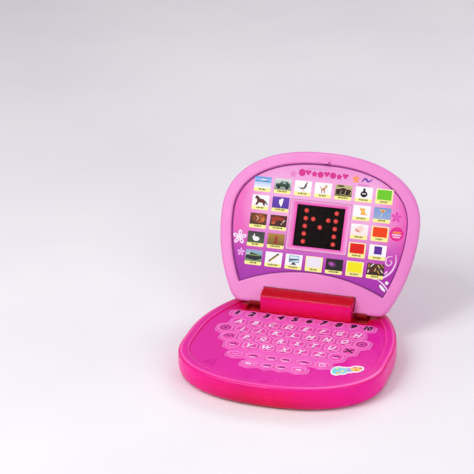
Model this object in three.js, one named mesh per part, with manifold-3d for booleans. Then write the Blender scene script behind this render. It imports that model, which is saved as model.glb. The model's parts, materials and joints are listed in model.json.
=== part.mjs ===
// Toy laptop computer: a clamshell with a sprung letter keypad and a lid that holds
// a picture card around a small dot-matrix screen. Millimetres, +Z up, front facing -Y.
// The lid is modelled open: it leans back LID_LEAN degrees from vertical.
// Pieces are drawn in the plan of the base, whose middle is y = 0, and the whole toy is then
// moved by ORIGIN_Y, so that the origin is the middle of its open outline, on the surface
// that the feet stand on.

import * as THREE from 'three';
import { mergeVertices } from 'three/addons/utils/BufferGeometryUtils.js';
import Module from 'manifold-3d';

const wasm = await Module();
wasm.setup();

// ---------------------------------------------------------------- driving dimensions

const GAP = 0.35; // clearance between pieces that would touch
const ORIGIN_Y = 36.2; // middle of the open toy, from the front rim to the back of the lid

// base, seen from above
const BASE_HALF_WIDTH = 119;
const BASE_FRONT = -102;
const BASE_BACK = 102;
const BASE_WAIST = -20; // y where the front arch begins
const BASE_SIDE_TOP = 3; // y where the side starts to curve in towards the back
const BASE_SIDE_RADIUS = 155;
const ARCH_POWER = 2.3; // exponent of the super-ellipse of the front arch and the lid's top

// base, heights
const FOOT_SINK = 0.8;
const UNDERSIDE = 1.5;
const FLOOR_TOP = 3.5;
const SEAM = 26.1;
const DECK_BOTTOM = 24.5;
const DECK = 26.5;
const RIM = 28.8;
const RIM_WIDTH = 13;

// keypad
const KEY_PITCH = 20;
const ROW_PITCH = KEY_PITCH * Math.sqrt(3) / 2;
const KEY_GAP = 1.4;
const KEY_CORNER = 0.3; // share of each cell edge that the corner rounding takes
const KEY_BOTTOM = 24.9;
const KEY_SHOULDER = 27;
const KEY_TOP = 28;
const NUMBER_PITCH = 17.25;
const NUMBER_ROW_Y = 55;
const NUMBER_DEPTH = 16.6;
const FRONT_ROW_Y = -38.5;
const BOTTOM_ROW_Y = -55.5;
const BEZEL_BOTTOM = 24.6;
const BEZEL_TOP = 27.4;
const BEZEL_BORDER = 2.2;

// hinge
const HINGE_Y = 79;
const HINGE_Z = 32.65;
const HINGE_COVER_HALF = 54;
const BARREL_RADIUS = 17.9;
const PIN_RADIUS = 2;
const BORE_RADIUS = 2.4;
const HOLLOW_PIN_RADIUS = 2.5;
const HOLLOW_BORE_RADIUS = 2.9;
const LUG_INNER = 56;
const LUG_OUTER = 70;

// lid: x across, v up the lid from the hinge axis, w out of its front face
const LID_LEAN = 30;
const LID_HALF_WIDTH = 118;
const LID_TOP = 179.4;
const LID_WAIST = 100.2; // v of the widest line
const LID_SIDE_RADIUS = 194;
const LID_BOTTOM = -1.2;
const LID_FRONT = 3.5;
const LID_SEAM = -1;
const LID_BACK = -10.5;
const LID_BORDER = 13.8;
const NOTCH_HALF = 55.3;
const NOTCH_TOP = 18.3;
const CARD_CORNER_V = 20.9;
const CARD_ARCH_V = 39.7;
const CARD_FACE = 0.2;
const SCREEN_V = 93.2;
const BEZEL_HALF = [36.3, 29.2];
const SCREEN_HALF = [28.8, 24.2];
const LED_PITCH = 9;
const LED_RADIUS = 2.6;

// power
const BATTERY_RADIUS = 7.1;
const BATTERY_LENGTH = 50.5;
const BATTERY_PITCH = 15.2;
const BATTERY_Y = 10;
const BATTERY_Z = 11.6;
const BAY_HALF = [31, 25];
const BAY_CEILING = 19.4;
const BAY_WALL = 1.8;

const SPEAKER_AT = [-71, -61];

// ---------------------------------------------------------------- materials

function plastic(color, roughness = 0.35, metalness = 0) {
  return new THREE.MeshStandardMaterial({ color, roughness, metalness });
}

const HOT_PINK = plastic(0xe61e6e);
const MAGENTA = plastic(0xe32ca4);
const ORCHID = plastic(0xf58ad6);
const KEY_PINK = plastic(0xfa63c0, 0.4);
const EDGE_PINK = plastic(0xff8ad8, 0.4);
const CARD_PRINT = plastic(0xc061c4, 0.5);
const SMOKED = plastic(0x1a0a0c, 0.1);
const RUBBER = plastic(0x8c8a90, 0.9);
const BOARD_GREEN = plastic(0x2f6f3a, 0.6);
const STEEL = plastic(0xb9bcc2, 0.3, 1);
const CELL_SLEEVE = plastic(0x2d55a5, 0.4);
const SPEAKER_BLACK = plastic(0x26262a, 0.7);
const WIRE_GREY = plastic(0x9a9aa2, 0.6);

// ---------------------------------------------------------------- solids

function toSolid(geometry) {
  const bare = geometry.clone();
  bare.deleteAttribute('normal');
  bare.deleteAttribute('uv');
  const merged = mergeVertices(bare, 1e-4);
  const vertProperties = new Float32Array(merged.attributes.position.array);
  const triVerts = new Uint32Array(merged.index.array);
  return new wasm.Manifold(new wasm.Mesh({ numProp: 3, vertProperties, triVerts }));
}

function toGeometry(solid) {
  const mesh = solid.getMesh();
  const geometry = new THREE.BufferGeometry();
  geometry.setAttribute('position', new THREE.BufferAttribute(new Float32Array(mesh.vertProperties), 3));
  geometry.setIndex(new THREE.BufferAttribute(new Uint32Array(mesh.triVerts), 1));
  geometry.computeVertexNormals();
  return geometry;
}

function boxBetween(low, high) {
  const size = high.map((value, axis) => value - low[axis]);
  const geometry = new THREE.BoxGeometry(...size);
  geometry.translate(...low.map((value, axis) => value + size[axis] / 2));
  return toSolid(geometry);
}

// A cylinder along 'x' or 'z' from one end to the other, centred on the two other coordinates.
function rod(axis, from, to, centre, radius, sides = 12) {
  const geometry = new THREE.CylinderGeometry(radius, radius, to - from, sides);
  if (axis === 'x') {
    geometry.rotateZ(Math.PI / 2);
    geometry.translate((from + to) / 2, centre[0], centre[1]);
  } else {
    geometry.rotateX(Math.PI / 2);
    geometry.translate(centre[0], centre[1], (from + to) / 2);
  }
  return toSolid(geometry);
}

function extrude(points, from, to) {
  const depth = to - from;
  const geometry = new THREE.ExtrudeGeometry(new THREE.Shape(points), { depth, bevelEnabled: false });
  geometry.translate(0, 0, from);
  return toSolid(geometry);
}

// Moves each corner of a counter-clockwise outline inwards by the distance (outwards if negative).
function inset(points, distance) {
  const count = points.length;
  return points.map((point, i) => {
    const before = point.clone().sub(points[(i + count - 1) % count]).normalize();
    const after = points[(i + 1) % count].clone().sub(point).normalize();
    const normals = new THREE.Vector2(before.y + after.y, -before.x - after.x);
    const reach = distance / (1 + before.dot(after));
    return new THREE.Vector2(point.x - normals.x * reach, point.y - normals.y * reach);
  });
}

// A closed body whose wall follows the outline: profile is a list of [inset, height] from the
// face that looks down to the face that looks up.
function loft(outline, profile) {
  const count = outline.length;
  const rings = profile.map(([distance]) => inset(outline, distance));
  const positions = rings.flatMap((ring, k) => ring.flatMap((p) => [p.x, p.y, profile[k][1]]));
  const index = [];
  for (let k = 0; k + 1 < rings.length; k += 1) {
    for (let i = 0; i < count; i += 1) {
      const a = k * count + i;
      const b = k * count + (i + 1) % count;
      index.push(a, b, b + count);
      index.push(a, b + count, a + count);
    }
  }
  const last = (rings.length - 1) * count;
  for (const [a, b, c] of THREE.ShapeUtils.triangulateShape(rings[0], [])) {
    index.push(a, c, b);
  }
  for (const [a, b, c] of THREE.ShapeUtils.triangulateShape(rings.at(-1), [])) {
    index.push(last + a, last + b, last + c);
  }
  const geometry = new THREE.BufferGeometry();
  geometry.setAttribute('position', new THREE.Float32BufferAttribute(positions, 3));
  geometry.setIndex(index);
  return toSolid(geometry);
}

function union(solids) {
  return solids.reduce((sum, solid) => sum.add(solid));
}

function mirrored(make) {
  return make(1).add(make(-1));
}

// The two distances from the middle, on the side given by its sign, in ascending order.
function span(side, near, far) {
  return [side * near, side * far].sort((a, b) => a - b);
}

// A section drawn as (y, z) and swept along x.
function sweepAlongX(section, from, to, curveSegments) {
  const geometry = new THREE.ExtrudeGeometry(section, {
    depth: to - from, bevelEnabled: false, curveSegments,
  });
  geometry.applyMatrix4(new THREE.Matrix4().makeBasis(
    new THREE.Vector3(0, 1, 0),
    new THREE.Vector3(0, 0, 1),
    new THREE.Vector3(1, 0, 0),
  ));
  geometry.translate(from, 0, 0);
  return toSolid(geometry);
}

const laptop = new THREE.Group();
laptop.position.y = -ORIGIN_Y;
const lid = new THREE.Group();
lid.position.set(0, HINGE_Y, HINGE_Z);
lid.rotation.x = THREE.MathUtils.degToRad(90 - LID_LEAN);
laptop.add(lid);

function addPiece(name, solid, material, parent = laptop) {
  const mesh = new THREE.Mesh(toGeometry(solid), material);
  mesh.name = name;
  parent.add(mesh);
}

// ---------------------------------------------------------------- outlines

// The right half of an arch whose crown is at (0, crownY), from the waist to just before the crown.
function archPoints(halfWidth, waistY, crownY, count) {
  const points = [];
  for (let i = 0; i < count; i += 1) {
    const angle = Math.PI / 2 * i / count;
    const x = halfWidth * Math.cos(angle) ** (2 / ARCH_POWER);
    const y = waistY + (crownY - waistY) * Math.sin(angle) ** (2 / ARCH_POWER);
    points.push(new THREE.Vector2(x, y));
  }
  return points;
}

// Points on the side's large arc at the given heights; the arc is widest at waistY.
function sidePoints(halfWidth, waistY, radius, heights) {
  return heights.map((y) => {
    const sag = radius - Math.sqrt(radius ** 2 - (y - waistY) ** 2);
    return new THREE.Vector2(halfWidth - sag, y);
  });
}

function steps(from, to, count) {
  return Array.from({ length: count }, (_, i) => from + (to - from) * i / (count - 1));
}

function mirrorOutline(rightHalf, crown) {
  const left = rightHalf.map((p) => new THREE.Vector2(-p.x, p.y)).reverse();
  return [...rightHalf, crown, ...left];
}

function counterClockwise(points) {
  return THREE.ShapeUtils.isClockWise(points) ? points.slice().reverse() : points;
}

function roundedCorner(from, corner, to, count) {
  const curve = new THREE.QuadraticBezierCurve(from, corner, to);
  return curve.getPoints(count);
}

function baseOutline() {
  const cornerY = 86;
  const side = sidePoints(BASE_HALF_WIDTH, BASE_SIDE_TOP, BASE_SIDE_RADIUS, steps(cornerY, BASE_SIDE_TOP, 5));
  const corner = sidePoints(BASE_HALF_WIDTH, BASE_SIDE_TOP, BASE_SIDE_RADIUS, [BASE_BACK - 3])[0];
  corner.y = BASE_BACK;
  const fillet = roundedCorner(new THREE.Vector2(corner.x - 18, BASE_BACK), corner, side[0], 4);
  const front = archPoints(BASE_HALF_WIDTH, BASE_WAIST, BASE_FRONT, 11);
  const right = [...fillet.slice(0, -1), ...side, ...front];
  return counterClockwise(mirrorOutline(right, new THREE.Vector2(0, BASE_FRONT)));
}

function lidOutline() {
  const cornerV = 9;
  const side = sidePoints(LID_HALF_WIDTH, LID_WAIST, LID_SIDE_RADIUS, steps(cornerV, LID_WAIST, 5));
  const corner = sidePoints(LID_HALF_WIDTH, LID_WAIST, LID_SIDE_RADIUS, [LID_BOTTOM + 1])[0];
  corner.y = LID_BOTTOM;
  const fillet = roundedCorner(new THREE.Vector2(corner.x - 9, LID_BOTTOM), corner, side[0], 4);
  const top = archPoints(LID_HALF_WIDTH, LID_WAIST, LID_TOP, 11).slice(1);
  const right = [...fillet.slice(0, -1), ...side, ...top];
  return counterClockwise(mirrorOutline(right, new THREE.Vector2(0, LID_TOP)));
}

// The picture card: the lid's outline less its border, with a bottom edge that arches upwards.
function cardOutline(grow = 0) {
  const halfWidth = LID_HALF_WIDTH - LID_BORDER + grow;
  const radius = LID_SIDE_RADIUS - LID_BORDER + grow;
  const side = sidePoints(halfWidth, LID_WAIST, radius, steps(CARD_CORNER_V - grow, LID_WAIST, 5));
  const top = archPoints(halfWidth, LID_WAIST, LID_TOP - LID_BORDER + grow, 11).slice(1);
  const chord = side[0].x;
  const rise = CARD_ARCH_V - CARD_CORNER_V;
  const archRadius = (chord ** 2 + rise ** 2) / (2 * rise);
  const arch = steps(0, chord, 6).slice(1, -1).map((x) => {
    const drop = archRadius - Math.sqrt(archRadius ** 2 - x ** 2);
    return new THREE.Vector2(x, CARD_ARCH_V - grow - drop);
  });
  const right = [...arch, ...side, ...top];
  const outline = mirrorOutline(right, new THREE.Vector2(0, LID_TOP - LID_BORDER + grow));
  outline.unshift(new THREE.Vector2(0, CARD_ARCH_V - grow));
  return counterClockwise(outline);
}

// A hexagonal key cell with a point towards the back, its corners cut.
function cellOutline(x, y, width, depth, cut = KEY_CORNER) {
  const corners = [
    [0, depth / 2], [-width / 2, depth / 4], [-width / 2, -depth / 4],
    [0, -depth / 2], [width / 2, -depth / 4], [width / 2, depth / 4],
  ].map(([dx, dy]) => new THREE.Vector2(x + dx, y + dy));
  if (cut === 0) {
    return corners;
  }
  return corners.flatMap((corner, i) => {
    const before = corners[(i + 5) % 6];
    const after = corners[(i + 1) % 6];
    return [corner.clone().lerp(before, cut), corner.clone().lerp(after, cut)];
  });
}

// ---------------------------------------------------------------- key places

function centred(count, pitch) {
  return Array.from({ length: count }, (_, i) => (i - (count - 1) / 2) * pitch);
}

const HEX_DEPTH = KEY_PITCH / Math.cos(Math.PI / 6);

const LETTER_ROWS = ['ABCDEFGH', 'IJKLMNO', 'PQRSTU', 'VWXYZ'];

const letterKeys = LETTER_ROWS.flatMap((letters, row) => {
  const places = centred(letters.length, KEY_PITCH);
  return places.map((x, i) => ({
    name: `key_${letters[i].toLowerCase()}`,
    x,
    y: (2 - row) * ROW_PITCH,
    width: KEY_PITCH,
    depth: HEX_DEPTH,
  }));
});

function rowOfKeys(places, y, width, depth) {
  return places.map((x) => ({ x, y, width, depth }));
}

const numberKeys = rowOfKeys(centred(10, NUMBER_PITCH), NUMBER_ROW_Y, NUMBER_PITCH, NUMBER_DEPTH);

function sideKeys(side) {
  return [1, 2, 3].map((row) => ({
    x: side * (KEY_PITCH * (9 - row) / 2),
    y: (2 - row) * ROW_PITCH,
    width: KEY_PITCH,
    depth: HEX_DEPTH,
  }));
}

const frontRow = [
  ...rowOfKeys([-50, -29.2], FRONT_ROW_Y, 20.6, 17.4),
  ...rowOfKeys([-8.2, 8.2], FRONT_ROW_Y, 16.4, 17.4),
  ...rowOfKeys([29.2, 50], FRONT_ROW_Y, 20.6, 17.4),
];
const bottomRow = [
  ...rowOfKeys([-28], BOTTOM_ROW_Y, 20.6, 17.4),
  ...rowOfKeys([-8.2, 8.2], BOTTOM_ROW_Y, 16.4, 17.4),
  ...rowOfKeys([28], BOTTOM_ROW_Y, 20.6, 17.4),
];

function cells(keys, grow, from, to, cut) {
  const spread = ({ x, y, width, depth }) => cellOutline(x, y, width + grow * 2, depth + grow * 2.3, cut);
  return union(keys.map((key) => extrude(spread(key), from, to)));
}

function slab(halfWidth, yFrom, yTo, from, to) {
  return boxBetween([-halfWidth, yFrom, from], [halfWidth, yTo, to]);
}

// Everything the keypad covers, grown by a distance.
function padRegion(grow, from, to) {
  const hexKeys = [...letterKeys, ...sideKeys(-1), ...sideKeys(1)];
  return union([
    cells(hexKeys, grow, from, to),
    cells([...numberKeys, ...frontRow, ...bottomRow], grow, from, to),
    slab(78 + grow, NUMBER_ROW_Y - 5, NUMBER_ROW_Y + 5.5 + grow, from, to),
    slab(74, ROW_PITCH * 2, NUMBER_ROW_Y, from, to),
    slab(54, FRONT_ROW_Y, -ROW_PITCH, from, to),
    slab(32, BOTTOM_ROW_Y, FRONT_ROW_Y, from, to),
  ]);
}

// The three holes that the keys stand in. The letter keys share one, with sharp corners.
function keyOpenings(from, to) {
  const sharp = 0;
  const hexKeys = [...letterKeys, ...sideKeys(-1), ...sideKeys(1)];
  return union([
    cells(hexKeys, GAP, from, to, sharp),
    cells(numberKeys, -GAP, from, to),
    slab(78, NUMBER_ROW_Y - 5, NUMBER_ROW_Y + 5, from, to),
    cells(frontRow, -GAP, from, to),
    slab(50, FRONT_ROW_Y - 4, FRONT_ROW_Y + 4, from, to),
    cells(bottomRow, -GAP, from, to),
    slab(30, BOTTOM_ROW_Y - 4, FRONT_ROW_Y, from, to),
  ]);
}

// ---------------------------------------------------------------- base shells

const basePlan = baseOutline();

const POSTS = [[102, 20], [92, -40], [30, -86], [91, 73]];
const FEET = [[80, -50], [72, 84]];
const CELLS_Y = centred(3, BATTERY_PITCH).map((offset) => BATTERY_Y + offset);

function lowerShell() {
  const tub = loft(basePlan, [
    [8, UNDERSIDE], [3.2, 2.8], [0.8, 7], [0, 15], [0.5, SEAM],
    [2.6, SEAM], [2.4, 12], [3.6, 6.5], [9, FLOOR_TOP],
  ]);
  const [bayX, bayY] = BAY_HALF;
  const bayWalls = boxBetween(
    [-bayX - BAY_WALL, BATTERY_Y - bayY - BAY_WALL, UNDERSIDE + 0.5],
    [bayX + BAY_WALL, BATTERY_Y + bayY + BAY_WALL, BAY_CEILING + 1.2],
  );
  const bay = boxBetween(
    [-bayX, BATTERY_Y - bayY, 0],
    [bayX, BATTERY_Y + bayY, BAY_CEILING],
  );
  const posts = POSTS.map(([x, y]) => mirrored((side) => rod('z', 3, DECK_BOTTOM - GAP, [side * x, y], 4, 8)));
  const screwHoles = POSTS.map(([x, y]) => mirrored((side) => rod('z', 0, 9, [side * x, y], 2.6, 8)));
  const footSeats = FEET.map(([x, y]) => mirrored((side) => {
    return rod('z', 0, UNDERSIDE + FOOT_SINK + GAP, [side * x, y], 6.6, 12);
  }));
  return union([tub, bayWalls, ...posts]).subtract(union([bay, ...screwHoles, ...footSeats]));
}

function speakerHoles() {
  const spacing = 3.6;
  const holes = [];
  for (let row = 0; row < 5; row += 1) {
    for (let i = 0; i <= row; i += 1) {
      const x = SPEAKER_AT[0] + (row - 2.6) * spacing * 0.87;
      const y = SPEAKER_AT[1] + (i - row / 2) * spacing;
      holes.push(rod('z', DECK_BOTTOM - 1, DECK + 1, [x, y], 0.9, 6));
    }
  }
  return union(holes);
}

function upperShell() {
  const deck = loft(basePlan, [
    [3, DECK_BOTTOM], [3, SEAM + GAP], [0.8, SEAM + GAP], [0.3, 27.1], [0.7, 28], [2.4, RIM],
    [RIM_WIDTH - 1.6, RIM], [RIM_WIDTH - 0.5, 28.1], [RIM_WIDTH, DECK],
  ]);
  const wireWay = slab(48, 70, 90, DECK_BOTTOM - 1, DECK + 1);
  const pockets = mirrored((side) => {
    const ends = span(side, HINGE_COVER_HALF + 1.6, LUG_OUTER + 1.6);
    return boxBetween([ends[0], 67.5, DECK_BOTTOM - 1], [ends[1], 87.5, DECK + 3]);
  });
  const coverSeat = boxBetween([-HINGE_COVER_HALF - 0.5, 65, DECK], [HINGE_COVER_HALF + 0.5, 95, RIM + 1]);
  const catchSlot = boxBetween([-5, -91.4, DECK_BOTTOM - 1], [5, -86.6, RIM + 1]);
  const cuts = [padRegion(BEZEL_BORDER + GAP, DECK_BOTTOM - 1, DECK + 1), wireWay, pockets];
  return deck.subtract(union([...cuts, coverSeat, catchSlot, speakerHoles()]));
}

// Its top is a barrel about the hinge axis, which the lid's notch turns around.
function hingeCover() {
  const section = new THREE.Shape();
  section.moveTo(65.5, DECK + GAP);
  section.lineTo(94.5, DECK + GAP);
  section.lineTo(94.5, 39.5);
  section.absarc(HINGE_Y, HINGE_Z, BARREL_RADIUS, Math.PI * 0.19, Math.PI * 0.728, false);
  section.quadraticCurveTo(66.7, 45.5, 66.6, 43.5);
  const outer = sweepAlongX(section, -HINGE_COVER_HALF, HINGE_COVER_HALF, 5);
  const inner = boxBetween([-HINGE_COVER_HALF + 2, 68.7, 0], [HINGE_COVER_HALF - 2, 92.3, 41.2]);
  const innerTop = boxBetween([-HINGE_COVER_HALF + 2, 71, 40], [HINGE_COVER_HALF - 2, 87, 46.2]);
  const axis = [HINGE_Y, HINGE_Z];
  const rightBore = rod('x', HINGE_COVER_HALF - 3, HINGE_COVER_HALF + 1, axis, BORE_RADIUS, 16);
  const leftBore = rod('x', -HINGE_COVER_HALF - 1, 3 - HINGE_COVER_HALF, axis, HOLLOW_BORE_RADIUS, 16);
  return outer.subtract(union([inner, innerTop, rightBore, leftBore]));
}

addPiece('base_lower_shell', lowerShell(), HOT_PINK);
addPiece('base_upper_shell', upperShell(), MAGENTA);
addPiece('hinge_cover', hingeCover(), HOT_PINK);

FEET.forEach(([x, y], row) => {
  [-1, 1].forEach((side) => {
    const name = `foot_${row === 0 ? 'front' : 'rear'}_${side < 0 ? 'left' : 'right'}`;
    addPiece(name, rod('z', 0, UNDERSIDE + FOOT_SINK, [side * x, y], 6, 12), RUBBER);
  });
});

// ---------------------------------------------------------------- keypad

const bezel = padRegion(BEZEL_BORDER, BEZEL_BOTTOM, BEZEL_TOP);
addPiece('keypad_bezel', bezel.subtract(keyOpenings(BEZEL_BOTTOM - 1, BEZEL_TOP + 1)), EDGE_PINK);

function keyCap({ x, y, width, depth }) {
  const outline = cellOutline(x, y, width - KEY_GAP, depth - KEY_GAP * 1.15);
  return loft(outline, [
    [0, KEY_BOTTOM], [0, KEY_SHOULDER], [2.2, KEY_TOP],
  ]);
}

letterKeys.forEach((key) => {
  addPiece(key.name, keyCap(key), KEY_PINK);
});

// Keys that share one carrier: thin bars under the caps join each key to the next.
function keyStrip(keys) {
  const bars = keys.slice(1).map((key, i) => {
    const from = new THREE.Vector2(keys[i].x, keys[i].y);
    const to = new THREE.Vector2(key.x, key.y);
    const along = to.clone().sub(from);
    const bar = new THREE.BoxGeometry(along.length(), 4, 1);
    bar.rotateZ(along.angle());
    bar.translate((from.x + to.x) / 2, (from.y + to.y) / 2, KEY_BOTTOM + 0.5);
    return toSolid(bar);
  });
  return union([...keys.map(keyCap), ...bars]);
}

addPiece('number_key_strip', keyStrip(numberKeys), KEY_PINK);
addPiece('function_keys_left', keyStrip(sideKeys(-1)), KEY_PINK);
addPiece('function_keys_right', keyStrip(sideKeys(1)), KEY_PINK);
addPiece('function_keys_front', keyStrip(frontRow), KEY_PINK);
addPiece('function_keys_bottom', keyStrip(bottomRow), KEY_PINK);

const membrane = [
  [89, 67], [94, 22], [84, -6], [62, -44], [42, -69],
].map(([x, y]) => new THREE.Vector2(x, y));
const membranePlan = [...membrane, ...membrane.map((p) => new THREE.Vector2(-p.x, p.y)).reverse()];
addPiece('key_membrane', extrude(counterClockwise(membranePlan), 22.7, 23.6), RUBBER);

// ---------------------------------------------------------------- electronics and power

function mainBoard() {
  const board = boxBetween([-74, -44, 21], [74, 62, 22.35]);
  const chip = boxBetween([44, -10, 19], [58, 4, 21.1]);
  const resonator = boxBetween([50, 20, 18.5], [56, 24, 21.1]);
  return union([board, chip, resonator]);
}

function speaker() {
  const profile = [
    [0, 12], [8, 12], [8, 17], [11, 18], [14, 22.4], [14, 24], [12.6, 24], [4.5, 21.2], [0, 22.2],
  ].map(([x, y]) => new THREE.Vector2(x, y));
  const turned = new THREE.LatheGeometry(profile, 14);
  turned.rotateX(Math.PI / 2);
  turned.translate(SPEAKER_AT[0], SPEAKER_AT[1], 0);
  return toSolid(turned);
}

addPiece('main_board', mainBoard(), BOARD_GREEN);
addPiece('speaker', speaker(), SPEAKER_BLACK);

CELLS_Y.forEach((y, i) => {
  const direction = i % 2 === 0 ? 1 : -1;
  const half = BATTERY_LENGTH / 2;
  const can = rod('x', 1 - half, half - 1, [y, BATTERY_Z], BATTERY_RADIUS, 14);
  const ends = span(direction, half - 1.5, half);
  const nub = rod('x', ends[0], ends[1], [y, BATTERY_Z], 2.6, 8);
  addPiece(`battery_${i + 1}`, can.add(nub), CELL_SLEEVE);
});

['left', 'right'].forEach((name, i) => {
  const side = i === 0 ? -1 : 1;
  const [plateFrom, plateTo] = span(side, 29.8, 30.6);
  const plate = boxBetween([plateFrom, BATTERY_Y - 21, 6], [plateTo, BATTERY_Y + 21, 17]);
  const [nubFrom, nubTo] = span(side, 26, 30);
  const nubs = CELLS_Y.map((y) => rod('x', nubFrom, nubTo, [y, BATTERY_Z], 2.8, 8));
  addPiece(`battery_contact_${name}`, union([plate, ...nubs]), STEEL);
});

const COVER_SCREW_Y = BATTERY_Y - BAY_HALF[1] + 5;

function batteryCover() {
  const edge = 0.4;
  const [bayX, bayY] = BAY_HALF;
  const plate = boxBetween(
    [-bayX + edge, BATTERY_Y - bayY + edge, UNDERSIDE],
    [bayX - edge, BATTERY_Y + bayY - edge, FLOOR_TOP],
  );
  const grips = [0, 1, 2].map((i) => {
    return boxBetween([-9, 22 + i * 3, 0], [9, 23.2 + i * 3, UNDERSIDE + 0.7]);
  });
  const screwSeat = rod('z', 0, 4, [0, COVER_SCREW_Y], 2.3, 12);
  return plate.subtract(union([...grips, screwSeat]));
}

addPiece('battery_cover', batteryCover(), HOT_PINK);
addPiece('battery_cover_screw', rod('z', UNDERSIDE + 0.4, FLOOR_TOP, [0, COVER_SCREW_Y], 1.9), STEEL);

// Wires rise from the board inside the hinge cover and leave along the axis of the hollow pin.
function hingeCable() {
  const path = new THREE.CatmullRomCurve3([
    new THREE.Vector3(-34, HINGE_Y - 2, 23.5),
    new THREE.Vector3(-34.5, HINGE_Y - 1, 28),
    new THREE.Vector3(-38, HINGE_Y, 31.8),
    new THREE.Vector3(-44, HINGE_Y, HINGE_Z),
    new THREE.Vector3(-64, HINGE_Y, HINGE_Z),
  ]);
  const section = new THREE.Shape();
  section.absarc(0, 0, 1.1, 0, Math.PI * 2);
  const tube = new THREE.ExtrudeGeometry(section, { steps: 14, curveSegments: 4, extrudePath: path });
  return toSolid(tube);
}

addPiece('hinge_cable', hingeCable(), WIRE_GREY);

// ---------------------------------------------------------------- lid

const lidPlan = lidOutline();

function lidNotch(grow, from, to) {
  return boxBetween([-NOTCH_HALF - grow, -20, from], [NOTCH_HALF + grow, NOTCH_TOP + grow, to]);
}

// The lug below each ear of the lid turns about the hinge axis, which is x = any, v = 0, w = 0.
function lug(side) {
  const section = new THREE.Shape();
  section.moveTo(3, 3.2);
  section.lineTo(-1, 3.2);
  section.quadraticCurveTo(-5.2, 3, -5.2, -0.4);
  section.quadraticCurveTo(-5, -3.6, -2, -3.6);
  section.lineTo(3, -3.6);
  return sweepAlongX(section, ...span(side, LUG_INNER, LUG_OUTER), 5);
}

function pinBore(side, radius) {
  const ends = span(side, NOTCH_HALF - 1, LUG_OUTER - 3);
  return rod('x', ends[0], ends[1], [0, 0], radius, 16);
}

function lidFrame() {
  const plate = loft(lidPlan, [
    [0.4, LID_SEAM], [0, 0], [0, 1.4], [0.9, 2.8], [3, LID_FRONT],
  ]);
  const cardOpening = extrude(cardOutline(GAP), LID_SEAM - 1, LID_FRONT + 1);
  const latchSeat = boxBetween([-4.4, 165.9, -2], [4.4, 169.1, LID_FRONT + 1]);
  const body = plate.subtract(union([cardOpening, lidNotch(0, -20, 20), latchSeat]));
  const bores = pinBore(1, BORE_RADIUS).add(pinBore(-1, HOLLOW_BORE_RADIUS));
  return body.add(mirrored(lug)).subtract(bores);
}

function lidRearShell() {
  const outer = loft(lidPlan, [
    [13, LID_BACK], [7.5, LID_BACK + 0.4], [3.4, LID_BACK + 1.9], [1, LID_BACK + 4.4],
    [0.2, LID_SEAM - 3], [0.4, LID_SEAM - GAP],
  ]).subtract(lidNotch(0, -20, 20));
  const inner = loft(lidPlan, [
    [12, LID_BACK + 1.7], [6, LID_BACK + 2.9], [3.2, LID_BACK + 5], [2.4, LID_SEAM + 2],
  ]).subtract(lidNotch(2, -20, 20));
  const lugRoom = mirrored((side) => {
    const ends = span(side, NOTCH_HALF - 1, LUG_OUTER + 0.6);
    return boxBetween([ends[0], -5, -4.2], [ends[1], 3.6, 3]);
  });
  return outer.subtract(inner.add(lugRoom));
}

function displayCard() {
  const card = extrude(cardOutline(0), -0.9, CARD_FACE);
  const [x, v] = BEZEL_HALF;
  const hole = boxBetween([-x - GAP, SCREEN_V - v - GAP, -3], [x + GAP, SCREEN_V + v + GAP, 3]);
  return card.subtract(hole);
}

function rectangle(halfX, halfV) {
  return [[-halfX, -halfV], [halfX, -halfV], [halfX, halfV], [-halfX, halfV]].map(([x, v]) => {
    return new THREE.Vector2(x, SCREEN_V + v);
  });
}

// A sunken picture-frame bevel between the card and the window.
function screenBezel() {
  const [x, v] = BEZEL_HALF;
  const [innerX, innerV] = SCREEN_HALF;
  const block = extrude(rectangle(x, v), -2.6, CARD_FACE);
  const mouth = new THREE.BufferGeometry();
  const low = rectangle(innerX - 0.2, innerV - 0.2);
  const high = rectangle(x - 0.8, v - 0.8);
  const corners = [...low.map((p) => [p.x, p.y, -2.9]), ...high.map((p) => [p.x, p.y, CARD_FACE + 0.2])];
  mouth.setAttribute('position', new THREE.Float32BufferAttribute(corners.flat(), 3));
  const index = [0, 2, 1, 0, 3, 2, 4, 5, 6, 4, 6, 7];
  for (let i = 0; i < 4; i += 1) {
    const next = (i + 1) % 4;
    index.push(i, next, next + 4, i, next + 4, i + 4);
  }
  mouth.setIndex(index);
  return block.subtract(toSolid(mouth));
}

function ledBoard() {
  const board = boxBetween([-32, SCREEN_V - 27, -8.4], [32, SCREEN_V + 27, -7]);
  const columns = centred(5, LED_PITCH);
  const lights = columns.flatMap((x) => columns.map((v) => {
    return rod('z', -7.4, -4.6, [x, SCREEN_V + v], LED_RADIUS, 6);
  }));
  return union([board, ...lights]);
}

function lidLatch() {
  const stem = boxBetween([-4, 166.3, 0], [4, 168.7, 7.4]);
  const hook = boxBetween([-4, 166.3, 6], [4, 169.4, 7.4]);
  return stem.add(hook);
}

addPiece('lid_front_frame', lidFrame(), ORCHID, lid);
addPiece('lid_rear_shell', lidRearShell(), ORCHID, lid);
addPiece('display_card', displayCard(), CARD_PRINT, lid);
addPiece('screen_bezel', screenBezel(), ORCHID, lid);
addPiece('screen_window', extrude(rectangle(31, 26.4), -4.2, -3), SMOKED, lid);
addPiece('led_board', ledBoard(), BOARD_GREEN, lid);
addPiece('lid_latch', lidLatch(), ORCHID, lid);

const rightPin = rod('x', HINGE_COVER_HALF - 5, LUG_OUTER - 4, [0, 0], PIN_RADIUS, 16);
const leftTube = rod('x', 4 - LUG_OUTER, 5 - HINGE_COVER_HALF, [0, 0], HOLLOW_PIN_RADIUS, 16);
const wireHole = rod('x', 3 - LUG_OUTER, 6 - HINGE_COVER_HALF, [0, 0], 1.6, 16);
addPiece('hinge_pin_right', rightPin, STEEL, lid);
addPiece('hinge_pin_left', leftTube.subtract(wireHole), STEEL, lid);

export default laptop;
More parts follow.
